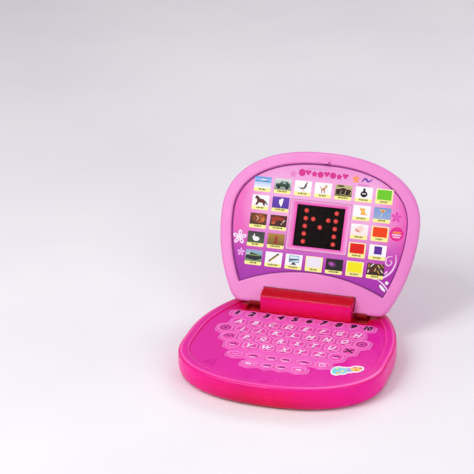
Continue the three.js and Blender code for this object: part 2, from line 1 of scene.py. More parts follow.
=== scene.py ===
"""Toy laptop computer: the looks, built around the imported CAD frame.

Shapes are drawn in millimetres in two local spaces. The base's space has its origin in the
middle of the base's plan. The lid's space lies on the hinge axis: x across, y up the lid,
z out of its front face.
"""
import json
import math

import bmesh
import bpy
import numpy as np
from mathutils import Matrix, Vector


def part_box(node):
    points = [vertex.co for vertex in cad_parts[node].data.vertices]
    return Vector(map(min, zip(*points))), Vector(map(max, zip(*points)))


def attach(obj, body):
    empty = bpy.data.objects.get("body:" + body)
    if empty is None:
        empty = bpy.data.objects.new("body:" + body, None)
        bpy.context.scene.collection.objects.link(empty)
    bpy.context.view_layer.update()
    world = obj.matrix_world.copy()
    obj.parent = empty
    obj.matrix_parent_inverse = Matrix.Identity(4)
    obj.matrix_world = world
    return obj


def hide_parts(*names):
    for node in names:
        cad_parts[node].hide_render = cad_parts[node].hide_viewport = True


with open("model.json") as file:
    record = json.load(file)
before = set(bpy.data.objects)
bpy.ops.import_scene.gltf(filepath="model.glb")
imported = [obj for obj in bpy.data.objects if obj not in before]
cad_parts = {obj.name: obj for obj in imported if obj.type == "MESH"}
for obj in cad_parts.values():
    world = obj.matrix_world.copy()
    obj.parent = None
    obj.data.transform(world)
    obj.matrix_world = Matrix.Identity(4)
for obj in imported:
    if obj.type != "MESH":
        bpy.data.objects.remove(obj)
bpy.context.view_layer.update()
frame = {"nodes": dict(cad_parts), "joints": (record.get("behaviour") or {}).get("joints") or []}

MM = 0.001
# the usual room between two moulded pieces, in millimetres
GAP = 0.35


# ---------------------------------------------------------------- places from the frame


def box_mm(node):
    low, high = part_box(node)
    return low / MM, high / MM


def joint(name):
    return next(j for j in frame["joints"] if j["name"] == name)


tub_low, tub_high = box_mm("base_lower_shell")
deck_low, deck_high = box_mm("base_upper_shell")
PLAN_Y = (tub_low.y + tub_high.y) / 2
LID_HINGE = joint("lid_hinge")
LEAN = math.radians(LID_HINGE["range_deg"][1] - 90)
BASE_SPACE = Matrix.Translation((0, PLAN_Y * MM, 0))
LID_SPACE = Matrix.Translation(LID_HINGE["pos_m"]) @ Matrix.Rotation(math.pi / 2 - LEAN, 4, "X")


def local_box(node, space):
    """A CAD node's lowest and highest corners in a local space, in millimetres."""
    back = space.inverted()
    points = [back @ v.co / MM for v in frame["nodes"][node].data.vertices]
    low = Vector([min(p[i] for p in points) for i in range(3)])
    high = Vector([max(p[i] for p in points) for i in range(3)])
    return low, high


# the base's plan and heights
HALF_WIDTH = tub_high.x
FRONT = tub_low.y - PLAN_Y
BACK = tub_high.y - PLAN_Y
WAIST = -20
SIDE_TOP = 3
SIDE_RADIUS = 155
ARCH_POWER = 2.3
UNDERSIDE = tub_low.z
FLOOR_TOP = UNDERSIDE + 2
SEAM = 26.1
DECK_BOTTOM = deck_low.z
DECK = 26.5
RIM = deck_high.z
RIM_WIDTH = 13
TRAY_FLOOR = 20.5
POST_RADIUS = 4
SCREW_HOLE = 2.6
FOOT_RADIUS = 6

# the hinge
HINGE_Y = LID_HINGE["pos_m"][1] / MM - PLAN_Y
HINGE_Z = LID_HINGE["pos_m"][2] / MM
COVER_HALF = box_mm("hinge_cover")[1].x
BARREL_RADIUS = box_mm("hinge_cover")[1].z - HINGE_Z
PIN_BORE = 2.4
HOLLOW_PIN_BORE = 2.9
POCKET_HALF = (8.6, 10)
POCKET_PLACES = [(side * (COVER_HALF + 10.2), 77.5) for side in (-1, 1)]

# the lid, in its own space
frame_high = local_box("lid_front_frame", LID_SPACE)[1]
card_low, card_high = local_box("display_card", LID_SPACE)
bezel_low, bezel_high = local_box("screen_bezel", LID_SPACE)
led_low, led_high = local_box("led_board", LID_SPACE)
LID_HALF_WIDTH = frame_high.x
LID_TOP = frame_high.y
LID_WAIST = 100.2
LID_SIDE_RADIUS = 194
LID_BOTTOM = -1.2
LID_FRONT = frame_high.z
LID_SEAM = -1
LID_BACK = local_box("lid_rear_shell", LID_SPACE)[0].z
LID_BORDER = LID_TOP - card_high.y
NOTCH_HALF = COVER_HALF + 1.3
NOTCH_TOP = 18.3
LUG_SPAN = (56, 70)
CARD_CORNER = card_low.y
CARD_ARCH = CARD_CORNER + 18.8
CARD_FACE = card_high.z
SCREEN_Y = (bezel_low.y + bezel_high.y) / 2
OPENING_HALF = (28.7, 24.2)
LED_PITCH = 9
LED_RADIUS = 2.6

# the keypad
KEY_GAP = 1.4
KEY_PITCH = box_mm("key_a")[1].x - box_mm("key_a")[0].x + KEY_GAP
ROW_PITCH = KEY_PITCH * math.sqrt(3) / 2
HEX_DEPTH = KEY_PITCH * 2 / math.sqrt(3)
KEY_BOTTOM = box_mm("key_a")[0].z
KEY_TOP = box_mm("key_a")[1].z
KEY_FACE = KEY_TOP - 0.28
KEY_CORNER = 3.2
HEX_REACH = 1.155
WEB_CLEARANCE = 0.25
PAD_TOP = box_mm("keypad_bezel")[1].z
WEB_TOP = KEY_TOP - 0.55


# ---------------------------------------------------------------- materials


def srgb(red, green, blue):
    """A linear colour from the usual 0 to 255 values."""
    def linear(value):
        value /= 255
        return value / 12.92 if value <= 0.04045 else ((value + 0.055) / 1.055) ** 2.4
    return (linear(red), linear(green), linear(blue), 1)


def shaded(colour, factor):
    """A darker colour, or a lighter one if the factor is over 1."""
    return tuple(min(1, c * factor) for c in colour[:3]) + (1,)


PEEL_DEPTH = 0.00006


class Nodes:
    """A material with one Principled shader and short ways to add nodes."""

    def __init__(self, name, **sockets):
        self.material = bpy.data.materials.new(name)
        self.material.use_nodes = True
        self.tree = self.material.node_tree
        self.shader = next(n for n in self.tree.nodes if n.type == "BSDF_PRINCIPLED")
        for socket, value in sockets.items():
            self.shader.inputs[socket.replace("_", " ")].default_value = value
        self.place = self.new("ShaderNodeTexCoord").outputs["Object"]

    def new(self, kind, **settings):
        node = self.tree.nodes.new(kind)
        for key, value in settings.items():
            setattr(node, key, value)
        return node

    def link(self, output, target):
        self.tree.links.new(output, target)

    def noise(self, scale, detail=3, distortion=0):
        node = self.new("ShaderNodeTexNoise")
        node.inputs["Scale"].default_value = scale
        node.inputs["Detail"].default_value = detail
        node.inputs["Distortion"].default_value = distortion
        self.link(self.place, node.inputs["Vector"])
        return node.outputs["Fac"]

    def ramp(self, source, stops):
        node = self.new("ShaderNodeValToRGB")
        elements = node.color_ramp.elements
        while len(elements) < len(stops):
            elements.new(0.5)
        for element, (position, colour) in zip(elements, stops):
            element.position = position
            element.color = colour
        self.link(source, node.inputs["Fac"])
        return node.outputs["Color"]

    def mix(self, factor, first, second, blend="MIX"):
        node = self.new("ShaderNodeMix", data_type="RGBA", blend_type=blend)
        for index, value in ((0, factor), (6, first), (7, second)):
            if isinstance(value, (int, float, tuple)):
                node.inputs[index].default_value = value
            else:
                self.link(value, node.inputs[index])
        return node.outputs[2]

    def span(self, source, low, high, to_low=0.0, to_high=1.0):
        node = self.new("ShaderNodeMapRange")
        for key, value in (("From Min", low), ("From Max", high), ("To Min", to_low), ("To Max", to_high)):
            node.inputs[key].default_value = value
        self.link(source, node.inputs["Value"])
        return node.outputs["Result"]

    def math(self, operation, first, second=0.0):
        node = self.new("ShaderNodeMath", operation=operation)
        for index, value in enumerate((first, second)):
            if isinstance(value, (int, float)):
                node.inputs[index].default_value = value
            else:
                self.link(value, node.inputs[index])
        return node.outputs["Value"]

    def axis(self, letter):
        node = self.new("ShaderNodeSeparateXYZ")
        self.link(self.place, node.inputs["Vector"])
        return node.outputs[letter]

    def ink(self):
        return self.new("ShaderNodeAttribute", attribute_name="ink").outputs["Color"]

    def bump(self, height, strength, distance):
        node = self.new("ShaderNodeBump")
        node.inputs["Strength"].default_value = strength
        node.inputs["Distance"].default_value = distance
        self.link(height, node.inputs["Height"])
        self.link(node.outputs["Normal"], self.shader.inputs["Normal"])

    def colour(self, source):
        self.link(source, self.shader.inputs["Base Color"])
        return self.material

    def roughness(self, low, high, scale=45):
        spread = self.span(self.noise(scale, 4), 0.3, 0.7, low, high)
        self.link(spread, self.shader.inputs["Roughness"])

    def finish(self, tone, cloud, shade, rough, peel=1500, grain=0.1):
        """Smooth plastic: a cloudy shade over the tone, uneven gloss and a fine orange peel."""
        clouds = self.span(self.noise(*cloud), 0.35, 0.65, *shade)
        self.roughness(*rough)
        self.bump(self.noise(peel, 2), grain, PEEL_DEPTH)
        return self.colour(self.mix(1.0, tone, clouds, "MULTIPLY"))


def moulded(name, low_colour, high_colour, rough, **sockets):
    """Injection-moulded plastic: slow colour drift, a fine orange peel and uneven gloss."""
    nodes = Nodes(name, **sockets)
    drift = nodes.ramp(nodes.noise(14, 2, 0.4), [(0.3, low_colour), (0.7, high_colour)])
    nodes.roughness(*rough)
    nodes.bump(nodes.noise(1500, 2), 0.12, PEEL_DEPTH)
    return nodes.colour(drift)


def wall_plastic(name):
    """The tub: rose, with painted light: a darker painted shade low on the wall, and a pinker painted
    reflection where it meets the rim and towards the sides.
    """
    nodes = Nodes(name, Specular_IOR_Level=0.2)
    height = nodes.span(nodes.axis("Z"), 0.004, 0.0262)
    # painted shade low on the wall and painted reflection up near the rim, by height
    rise = nodes.ramp(height, [
        (0.0, srgb(212, 0, 62)), (0.45, srgb(236, 0, 92)), (1.0, srgb(240, 2, 122)),
    ])
    # painted reflection: a magenta tint towards the left and right ends of the wall
    side_reflection = nodes.span(nodes.math("ABSOLUTE", nodes.axis("X")), 0.02, 0.12)
    reflection_tinted = nodes.mix(nodes.math("MULTIPLY", side_reflection, 0.9), rise, srgb(250, 4, 164))
    return nodes.finish(reflection_tinted, (20, 3, 0.5), (0.93, 1.05), (0.2, 0.3), 1400, 0.12)


def deck_plastic(name):
    """The deck: magenta, with painted light: red beside the hinge cover as a painted shade and red
    reflection, hot pink down its rim as a painted shade, and paler on its crest as a painted highlight.
    """
    nodes = Nodes(name, Specular_IOR_Level=0.3, Coat_Weight=0.1, Coat_Roughness=0.1)
    height = nodes.span(nodes.axis("Z"), 0.0265, 0.0288)
    # painted shade down the rim's steep sides and a painted highlight on its shoulders, by height
    tone = nodes.ramp(height, [
        (0.0, srgb(228, 8, 160)), (0.05, srgb(228, 8, 160)), (0.16, srgb(238, 14, 134)),
        (0.66, srgb(240, 14, 136)), (0.84, srgb(250, 92, 186)), (0.93, srgb(246, 70, 176)),
        (1.0, srgb(230, 14, 156)),
    ])
    # painted shade and red reflection on the deck beside the hinge cover
    rear = nodes.span(nodes.axis("Y"), 0.046, 0.068)
    inward = nodes.span(nodes.math("ABSOLUTE", nodes.axis("X")), 0.106, 0.072)
    shade_reddened = nodes.mix(nodes.math("MULTIPLY", rear, inward), tone, srgb(206, 0, 40))
    return nodes.finish(shade_reddened, (14, 2, 0.4), (0.96, 1.03), (0.18, 0.28))


def bevel_plastic(name):
    """The frame of the screen: pale on its face, deeper pink down its sloping sides, a painted shade down
    into the window's recess.
    """
    nodes = Nodes(name, Specular_IOR_Level=0.3)
    depth = nodes.span(nodes.axis("Z"), CARD_FACE * MM, bezel_low.z * MM)
    # painted shade: deeper pink further down into the window's recess
    down = nodes.ramp(depth, [
        (0.0, srgb(242, 168, 220)), (0.25, srgb(238, 146, 208)), (0.75, srgb(244, 92, 188)),
    ])
    return nodes.finish(down, (60, 3, 0.3), (0.95, 1.04), (0.3, 0.4))


def cover_plastic(name):
    """The hinge cover: hot pink on its face, with painted light: red at its foot as a painted shade, pinker
    at its crease as a painted highlight, and deep red over its barrel as a painted shade under the lid.
    """
    nodes = Nodes(name, Specular_IOR_Level=0.18)
    height = nodes.span(nodes.axis("Z"), 0.0262, 0.0505)
    # painted shade at the foot, a painted highlight at the crease and painted shade over the barrel, by
    # height
    rise = nodes.ramp(height, [
        (0.0, srgb(206, 18, 44)), (0.2, srgb(228, 10, 78)), (0.62, srgb(238, 18, 122)),
        (0.76, srgb(236, 14, 104)), (0.86, srgb(194, 0, 32)),
    ])
    return nodes.finish(rise, (16, 2, 0.4), (0.93, 1.05), (0.2, 0.3))


def key_plastic(name):
    """Key caps: the ink attribute is 1 on the pale ridge round each cap, a painted highlight, and 0
    elsewhere.
    """
    nodes = Nodes(name, Coat_Weight=0.1, Coat_Roughness=0.15)
    face = nodes.ramp(nodes.noise(70, 3, 0.3), [
        (0.32, srgb(234, 54, 160)), (0.68, srgb(242, 74, 182)),
    ])
    # painted highlight: pale on the ridge round each cap
    ridge = nodes.ramp(nodes.noise(300, 2), [
        (0.3, srgb(250, 122, 208)), (0.7, srgb(255, 148, 226)),
    ])
    nodes.roughness(0.28, 0.4, 90)
    nodes.bump(nodes.noise(1800, 2), 0.1, 0.00005)
    return nodes.colour(nodes.mix(nodes.ink(), face, ridge))


def card_ink(name):
    """The printed card: purple at the bottom, pale pink at the top, hot pink at the sides."""
    nodes = Nodes(name, Specular_IOR_Level=0.2)
    up = nodes.axis("Y")
    side = nodes.math("ABSOLUTE", nodes.axis("X"))
    sway = nodes.math("MULTIPLY", nodes.math("SUBTRACT", nodes.noise(13, 2, 1.5), 0.5), 0.03)
    level = nodes.span(nodes.math("ADD", up, sway), card_low.y * MM, card_high.y * MM)
    rise = nodes.ramp(level, [
        (0.00, srgb(164, 44, 170)), (0.18, srgb(174, 52, 172)), (0.34, srgb(212, 112, 198)),
        (0.52, srgb(234, 166, 214)), (0.80, srgb(236, 172, 218)), (1.00, srgb(232, 144, 206)),
    ])
    edge_level = nodes.ramp(level, [
        (0.00, srgb(158, 40, 164)), (0.26, srgb(178, 52, 172)), (0.45, srgb(230, 96, 184)),
        (0.80, srgb(234, 106, 190)), (1.00, srgb(236, 138, 200)),
    ])
    outward = nodes.span(nodes.math("ADD", side, sway), 0.062, 0.096)
    nodes.roughness(0.3, 0.42, 30)
    nodes.bump(nodes.noise(900, 2), 0.06, 0.00005)
    return nodes.colour(nodes.mix(outward, rise, edge_level))


def print_ink(name):
    """Printed shapes take their colour from the ink attribute, with a fine screen over it."""
    nodes = Nodes(name, Specular_IOR_Level=0.2)
    screen = nodes.span(nodes.noise(2600, 2), 0.3, 0.7, 0.93, 1.04)
    nodes.roughness(0.3, 0.45, 60)
    return nodes.colour(nodes.mix(1.0, nodes.ink(), screen, "MULTIPLY"))


def smoked_plastic(name):
    nodes = Nodes(name, Specular_IOR_Level=0.06, Alpha=0.5)
    nodes.roughness(0.2, 0.3, 40)
    haze = nodes.ramp(nodes.noise(40, 3), [(0.3, srgb(10, 3, 3)), (0.7, srgb(22, 7, 7))])
    return nodes.colour(haze)


def glowing(name, colour, strength):
    """A lit light dot, brighter in the middle: the ink attribute is 1 at its crown."""
    nodes = Nodes(name, Emission_Strength=strength, Roughness=0.4)
    glow = nodes.mix(nodes.ink(), shaded(colour, 0.25), colour)
    nodes.link(glow, nodes.shader.inputs["Emission Color"])
    tone = nodes.ramp(nodes.noise(500, 2), [(0.3, shaded(colour, 0.5)), (0.7, shaded(colour, 0.7))])
    return nodes.colour(tone)


def speckled(name, low_colour, high_colour, scale, rough, metallic=0.0, grain=0.2):
    """Board, rubber, steel and sleeves: a two-tone grain with a bump."""
    nodes = Nodes(name, Metallic=metallic)
    tone = nodes.ramp(nodes.noise(scale, 4), [(0.35, low_colour), (0.65, high_colour)])
    nodes.roughness(*rough, 120)
    nodes.bump(nodes.noise(scale * 3, 3), grain, 0.0001)
    return nodes.colour(tone)


HOT_PINK = wall_plastic("hot_pink_plastic")
COVER_PINK = cover_plastic("cover_pink_plastic")
MAGENTA = deck_plastic("magenta_plastic")
# painted shade: the lugs sit in the dark under the lid, so they are deep red instead of the lid's orchid
LUG_SHADE_RED = moulded("lug_plastic", srgb(132, 8, 20), srgb(150, 12, 28), (0.4, 0.5),
                   Specular_IOR_Level=0.2)
ORCHID = moulded("orchid_plastic", srgb(230, 122, 196), srgb(235, 134, 204), (0.3, 0.42),
                 Coat_Weight=0.05, Coat_Roughness=0.15)
BEVEL_PINK = bevel_plastic("bevel_plastic")
PAD_PINK = moulded("pad_plastic", srgb(240, 82, 186), srgb(248, 104, 204), (0.28, 0.4),
                   Coat_Weight=0.1, Coat_Roughness=0.15)
KEY_PINK = key_plastic("key_plastic")
CARD = card_ink("card_print")
INK = print_ink("printed_ink")
SMOKED = smoked_plastic("smoked_plastic")
LED_LIT = glowing("led_lit", srgb(255, 84, 80), 5.0)
LED_DARK = speckled("led_dark", srgb(26, 10, 10), srgb(38, 16, 15), 400, (0.3, 0.45))
LED_BLACK = speckled("led_black", srgb(8, 4, 5), srgb(14, 8, 9), 600, (0.6, 0.75))
RUBBER = speckled("foot_rubber", srgb(38, 38, 42), srgb(52, 52, 57), 900, (0.75, 0.9), grain=0.4)
SILICONE = speckled("membrane_silicone", srgb(206, 200, 204), srgb(220, 214, 218), 300, (0.55, 0.7))
BOARD = speckled("board_mask", srgb(30, 92, 48), srgb(40, 110, 58), 260, (0.35, 0.5))
STEEL = speckled("plated_steel", srgb(176, 178, 184), srgb(206, 208, 212), 700, (0.22, 0.4), 1.0, 0.1)
CONE = speckled("speaker_cone", srgb(28, 28, 31), srgb(40, 40, 44), 800, (0.6, 0.8), grain=0.4)
SLEEVE = speckled("cell_sleeve", srgb(32, 74, 156), srgb(40, 88, 176), 60, (0.25, 0.35))
WIRE = speckled("wire_sleeve", srgb(140, 140, 148), srgb(158, 158, 166), 900, (0.45, 0.6))


# ---------------------------------------------------------------- outlines, in millimetres


def steps(low, high, count):
    """Evenly spaced numbers from low to high."""
    return [low + (high - low) * i / (count - 1) for i in range(count)]


def arch(half_width, waist, crown, count=44):
    """The right half of a super-ellipse arch, from the waist to just before its crown."""
    points = []
    for i in range(count):
        angle = math.pi / 2 * i / count
        x = half_width * math.cos(angle) ** (2 / ARCH_POWER)
        y = waist + (crown - waist) * math.sin(angle) ** (2 / ARCH_POWER)
        points.append((x, y))
    return points


def side_arc(half_width, waist, radius, heights):
    """Points at the given heights on a side that bulges most at the waist."""
    return [(half_width - radius + math.sqrt(radius ** 2 - (y - waist) ** 2), y) for y in heights]


def corner_curve(start, corner, end, count=10):
    """A quadratic curve that is pulled towards the corner."""
    points = []
    for t in steps(0, 1, count):
        a, b, c = (1 - t) ** 2, 2 * t * (1 - t), t ** 2
        points.append((a * start[0] + b * corner[0] + c * end[0], a * start[1] + b * corner[1] + c * end[1]))
    return points


def area(points):
    return sum(a[0] * b[1] - b[0] * a[1] for a, b in zip(points, points[1:] + points[:1])) / 2


def outline_of(right_half, crown):
    """Mirrors the right half in x, through the crown, and runs it counter-clockwise."""
    left = [(-x, y) for x, y in reversed(right_half)]
    points = [*right_half, crown, *left]
    return points if area(points) > 0 else points[::-1]


def base_outline(shrink=0):
    """The base's plan, or the plan of a level that lies further in."""
    width, radius = HALF_WIDTH - shrink, SIDE_RADIUS - shrink
    back, front = BACK - shrink, FRONT + shrink
    side = side_arc(width, SIDE_TOP, radius, steps(86 - shrink * 0.65, SIDE_TOP, 18))
    corner_x = side_arc(width, SIDE_TOP, radius, [back - 3])[0][0]
    fillet = corner_curve((corner_x - 18 + shrink * 0.6, back), (corner_x, back), side[0])
    return outline_of([*fillet[:-1], *side, *arch(width, WAIST, front)], (0, front))


def lid_outline(shrink=0):
    """The lid's outline, or the outline of a level that lies further in."""
    width, radius = LID_HALF_WIDTH - shrink, LID_SIDE_RADIUS - shrink
    bottom, top = LID_BOTTOM + shrink, LID_TOP - shrink
    side = side_arc(width, LID_WAIST, radius, steps(9 + shrink * 1.2, LID_WAIST, 20))
    corner_x = side_arc(width, LID_WAIST, radius, [bottom + 1])[0][0]
    fillet = corner_curve((corner_x - 9, bottom), (corner_x, bottom), side[0])
    return outline_of([*fillet[:-1], *side, *arch(width, LID_WAIST, top)[1:]], (0, top))


def card_outline(grow=0):
    """The lid's outline less its border, with a bottom edge that arches upwards."""
    half_width = LID_HALF_WIDTH - LID_BORDER + grow
    radius = LID_SIDE_RADIUS - LID_BORDER + grow
    crown = LID_TOP - LID_BORDER + grow
    side = side_arc(half_width, LID_WAIST, radius, steps(CARD_CORNER - grow, LID_WAIST, 20))
    chord = side[0][0]
    rise = CARD_ARCH - CARD_CORNER
    arch_radius = (chord ** 2 + rise ** 2) / (2 * rise)
    bottom = []
    for x in steps(0, chord, 20)[1:-1]:
        drop = arch_radius - math.sqrt(arch_radius ** 2 - x ** 2)
        bottom.append((x, CARD_ARCH - grow - drop))
    points = outline_of([*bottom, *side, *arch(half_width, LID_WAIST, crown)[1:]], (0, crown))
    # the middle of the arched bottom edge, where the mirrored halves meet
    lowest = min(range(len(points)), key=lambda i: abs(points[i][0] + chord / 19) + points[i][1] * 0.01)
    points.insert(lowest + 1, (0, CARD_ARCH - grow))
    return points


def rounded(points, radius, count=5):
    """Each corner of a closed outline gives way to a short curve."""
    result = []
    for i, point in enumerate(points):
        corner = Vector(point)
        before = Vector(points[i - 1]) - corner
        after = Vector(points[(i + 1) % len(points)]) - corner
        start = corner + before.normalized() * min(radius, before.length * 0.48)
        end = corner + after.normalized() * min(radius, after.length * 0.48)
        result += corner_curve(start, corner, end, count)
    return result


def rectangle(half_x, half_y, centre=(0, 0), radius=0, count=5):
    x, y = centre
    points = [(x - half_x, y - half_y), (x + half_x, y - half_y),
              (x + half_x, y + half_y), (x - half_x, y + half_y)]
    return rounded(points, radius, count) if radius else points


def ellipse(centre, half_x, half_y, count=24, turn=0):
    points = []
    for i in range(count):
        angle = math.tau * i / count
        x, y = half_x * math.cos(angle), half_y * math.sin(angle)
        points.append((centre[0] + x * math.cos(turn) - y * math.sin(turn),
                       centre[1] + x * math.sin(turn) + y * math.cos(turn)))
    return points


def inset(points, distance):
    """Moves each corner of a counter-clockwise outline inwards (outwards if negative)."""
    count = len(points)
    result = []
    for i in range(count):
        x, y = points[i]
        ax, ay = x - points[i - 1][0], y - points[i - 1][1]
        bx, by = points[(i + 1) % count][0] - x, points[(i + 1) % count][1] - y
        a, b = math.hypot(ax, ay), math.hypot(bx, by)
        ax, ay, bx, by = ax / a, ay / a, bx / b, by / b
        reach = distance / (1 + ax * bx + ay * by)
        result.append((x - (ay + by) * reach, y + (ax + bx) * reach))
    return result


def smooth_line(points, per_span=4):
    """A Catmull-Rom line through the points, in any number of dimensions."""
    padded = [points[0], *points, points[-1]]
    result = []
    for i in range(1, len(padded) - 2):
        p = padded[i - 1:i + 3]
        for t in steps(0, 1, per_span + 1)[:-1]:
            weights = (-t + 2 * t * t - t ** 3, 2 - 5 * t * t + 3 * t ** 3,
                       t + 4 * t * t - 3 * t ** 3, -t * t + t ** 3)
            result.append(tuple(sum(w * q[k] for w, q in zip(weights, p)) / 2 for k in range(len(p[0]))))
    result.append(tuple(points[-1]))
    return result


# ---------------------------------------------------------------- shapes: (points, faces)


def loft(outline, profile):
    """A closed body whose wall follows the outline; profile is a list of (inset, height).

    The outline is a list of corners, or a function that returns them for an inset.
    """
    rings = [outline(d) if callable(outline) else inset(outline, d) for d, _ in profile]
    count = len(rings[0])
    points = [(x, y, z) for ring_points, (_, z) in zip(rings, profile) for x, y in ring_points]
    faces = [list(range(count))[::-1]]
    for ring in range(len(profile) - 1):
        for i in range(count):
            a, b = ring * count + i, ring * count + (i + 1) % count
            faces.append([a, b, b + count, a + count])
    last = (len(profile) - 1) * count
    faces.append([last + i for i in range(count)])
    return points, faces


def prism(outline, low, high):
    return loft(outline, [(0, low), (0, high)])


def block(low, high):
    (x0, y0, z0), (x1, y1, z1) = low, high
    return prism([(x0, y0), (x1, y0), (x1, y1), (x0, y1)], z0, z1)


def lathe(profile, centre, sides=40):
    """Turns a profile of (radius, height) about a vertical axis; its ends lie on the axis."""
    cx, cy = centre
    rings = profile[1:-1]
    points = [(cx, cy, profile[0][1])]
    for radius, z in rings:
        for i in range(sides):
            angle = math.tau * i / sides
            points.append((cx + radius * math.cos(angle), cy + radius * math.sin(angle), z))
    points.append((cx, cy, profile[-1][1]))
    faces = []
    last = len(points) - 1
    top = 1 + (len(rings) - 1) * sides
    for i in range(sides):
        j = (i + 1) % sides
        faces.append([0, 1 + j, 1 + i])
        faces.append([last, top + i, top + j])
        for ring in range(len(rings) - 1):
            a, b = 1 + ring * sides + i, 1 + ring * sides + j
            faces.append([a, b, b + sides, a + sides])
    return points, faces


def band(rings):
    """A closed hoop from a loop of (outline, height) rings with equally many corners."""
    count = len(rings[0][0])
    points = [(x, y, z) for outline, z in rings for x, y in outline]
    faces = []
    for level in range(len(rings)):
        a, b = level * count, (level + 1) % len(rings) * count
        for i in range(count):
            j = (i + 1) % count
            faces.append([a + i, a + j, b + j, b + i])
    return points, faces


def along_x(shape):
    """A shape drawn as (y, z, x) is laid along x."""
    points, faces = shape
    return [(c, a, b) for a, b, c in points], faces


def moved(shape, dx=0, dy=0, dz=0):
    points, faces = shape
    return [(x + dx, y + dy, z + dz) for x, y, z in points], faces


def merged(shapes):
    points, faces = [], []
    for more_points, more_faces in shapes:
        start = len(points)
        points += more_points
        faces += [[i + start for i in face] for face in more_faces]
    return points, faces


def as_object(shape, name="shape"):
    mesh = bpy.data.meshes.new(name)
    points, faces = shape
    mesh.from_pydata([tuple(c * MM for c in p) for p in points], [], faces)
    piece = bpy.data.objects.new(name, mesh)
    bpy.context.scene.collection.objects.link(piece)
    return piece


def combined(shape, others, operation, overlapping=False):
    """The shape with the others cut from it (DIFFERENCE) or joined to it (UNION)."""
    target, tool = as_object(shape), as_object(merged(others))
    modifier = target.modifiers.new("combine", "BOOLEAN")
    modifier.operation = operation
    modifier.object = tool
    modifier.solver = "EXACT"
    modifier.use_self = overlapping
    mesh = bpy.data.meshes.new_from_object(target.evaluated_get(bpy.context.evaluated_depsgraph_get()))
    points = [tuple(v.co / MM) for v in mesh.vertices]
    faces = [list(face.vertices) for face in mesh.polygons]
    for piece in (target, tool):
        bpy.data.objects.remove(piece)
    return points, faces


def cut(shape, others, overlapping=False):
    return combined(shape, others, "DIFFERENCE", overlapping)


def glyph(text, height, stretch, bold, slant=0.3):
    """Flat lettering of a given height, centred on the origin, thickened by copies at its sides."""
    curve = bpy.data.curves.new("glyph", "FONT")
    curve.body = text
    curve.size = 1
    curve.shear = slant
    curve.resolution_u = 3
    curve.extrude = 0.05
    curve.align_x = "CENTER"
    piece = bpy.data.objects.new("glyph", curve)
    bpy.context.scene.collection.objects.link(piece)
    mesh = bpy.data.meshes.new_from_object(piece.evaluated_get(bpy.context.evaluated_depsgraph_get()))
    bpy.data.objects.remove(piece)
    shaper = bmesh.new()
    shaper.from_mesh(mesh)
    bmesh.ops.remove_doubles(shaper, verts=shaper.verts, dist=1e-4)
    raw = [v.co.copy() for v in shaper.verts]
    faces = [[v.index for v in face.verts] for face in shaper.faces]
    shaper.free()
    low = [min(p[i] for p in raw) for i in range(2)]
    high = [max(p[i] for p in raw) for i in range(2)]
    scale = height / (high[1] - low[1])
    middle = [(low[i] + high[i]) / 2 for i in range(2)]
    points = [((p.x - middle[0]) * scale * stretch, (p.y - middle[1]) * scale, p.z * 0.8) for p in raw]
    shifts = [(0, 0), (bold, 0), (-bold, 0), (0, bold * 0.8), (0, -bold * 0.8)]
    return merged([moved((points, faces), dx, dy, i * 0.004) for i, (dx, dy) in enumerate(shifts)])


class Piece:
    """Gathers shapes in a local space and becomes one object that rides on a body."""

    def __init__(self, name, space):
        self.name = name
        self.space = space
        self.points, self.faces, self.inks = [], [], []
        self.materials, self.face_materials = [], []

    def add(self, shape, material, ink=(0, 0, 0)):
        """ink is one colour, or a function from a point to a colour."""
        points, faces = shape
        start = len(self.points)
        self.points += points
        self.faces += [[i + start for i in face] for face in faces]
        self.inks += [tuple(ink(p) if callable(ink) else ink)[:3] for p in points]
        if material not in self.materials:
            self.materials.append(material)
        self.face_materials += [self.materials.index(material)] * len(faces)
        return self

    def finish(self, body, slot, replaces=(), crease=35):
        piece = as_object((self.points, self.faces), self.name)
        mesh = piece.data
        for material in self.materials:
            mesh.materials.append(material)
        mesh.polygons.foreach_set("material_index", self.face_materials)
        ink = mesh.attributes.new("ink", "FLOAT_COLOR", "POINT")
        ink.data.foreach_set("color", [c for colour in self.inks for c in (*colour, 1)])
        mesh.shade_smooth()
        mesh.set_sharp_from_angle(angle=math.radians(crease))
        weighted = piece.modifiers.new("normals", "WEIGHTED_NORMAL")
        weighted.keep_sharp = True
        piece.matrix_world = self.space
        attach(piece, body)
        if replaces:
            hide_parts(*replaces)
        return piece


# ---------------------------------------------------------------- the base


def cell(x, y, width, depth, radius=KEY_CORNER):
    """A keypad cell: six sides, with a corner to the front and a corner to the back."""
    corners = [(0, depth / 2), (-width / 2, depth / 4), (-width / 2, -depth / 4),
               (0, -depth / 2), (width / 2, -depth / 4), (width / 2, depth / 4)]
    return rounded([(x + dx, y + dy) for dx, dy in corners], radius, 5)


def centred(count, pitch):
    """Evenly spaced numbers about zero."""
    return [(i - (count - 1) / 2) * pitch for i in range(count)]


def key_place(name):
    low, high = local_box(name, BASE_SPACE)
    return ((low.x + high.x) / 2, (low.y + high.y) / 2, high.x - low.x, high.y - low.y)


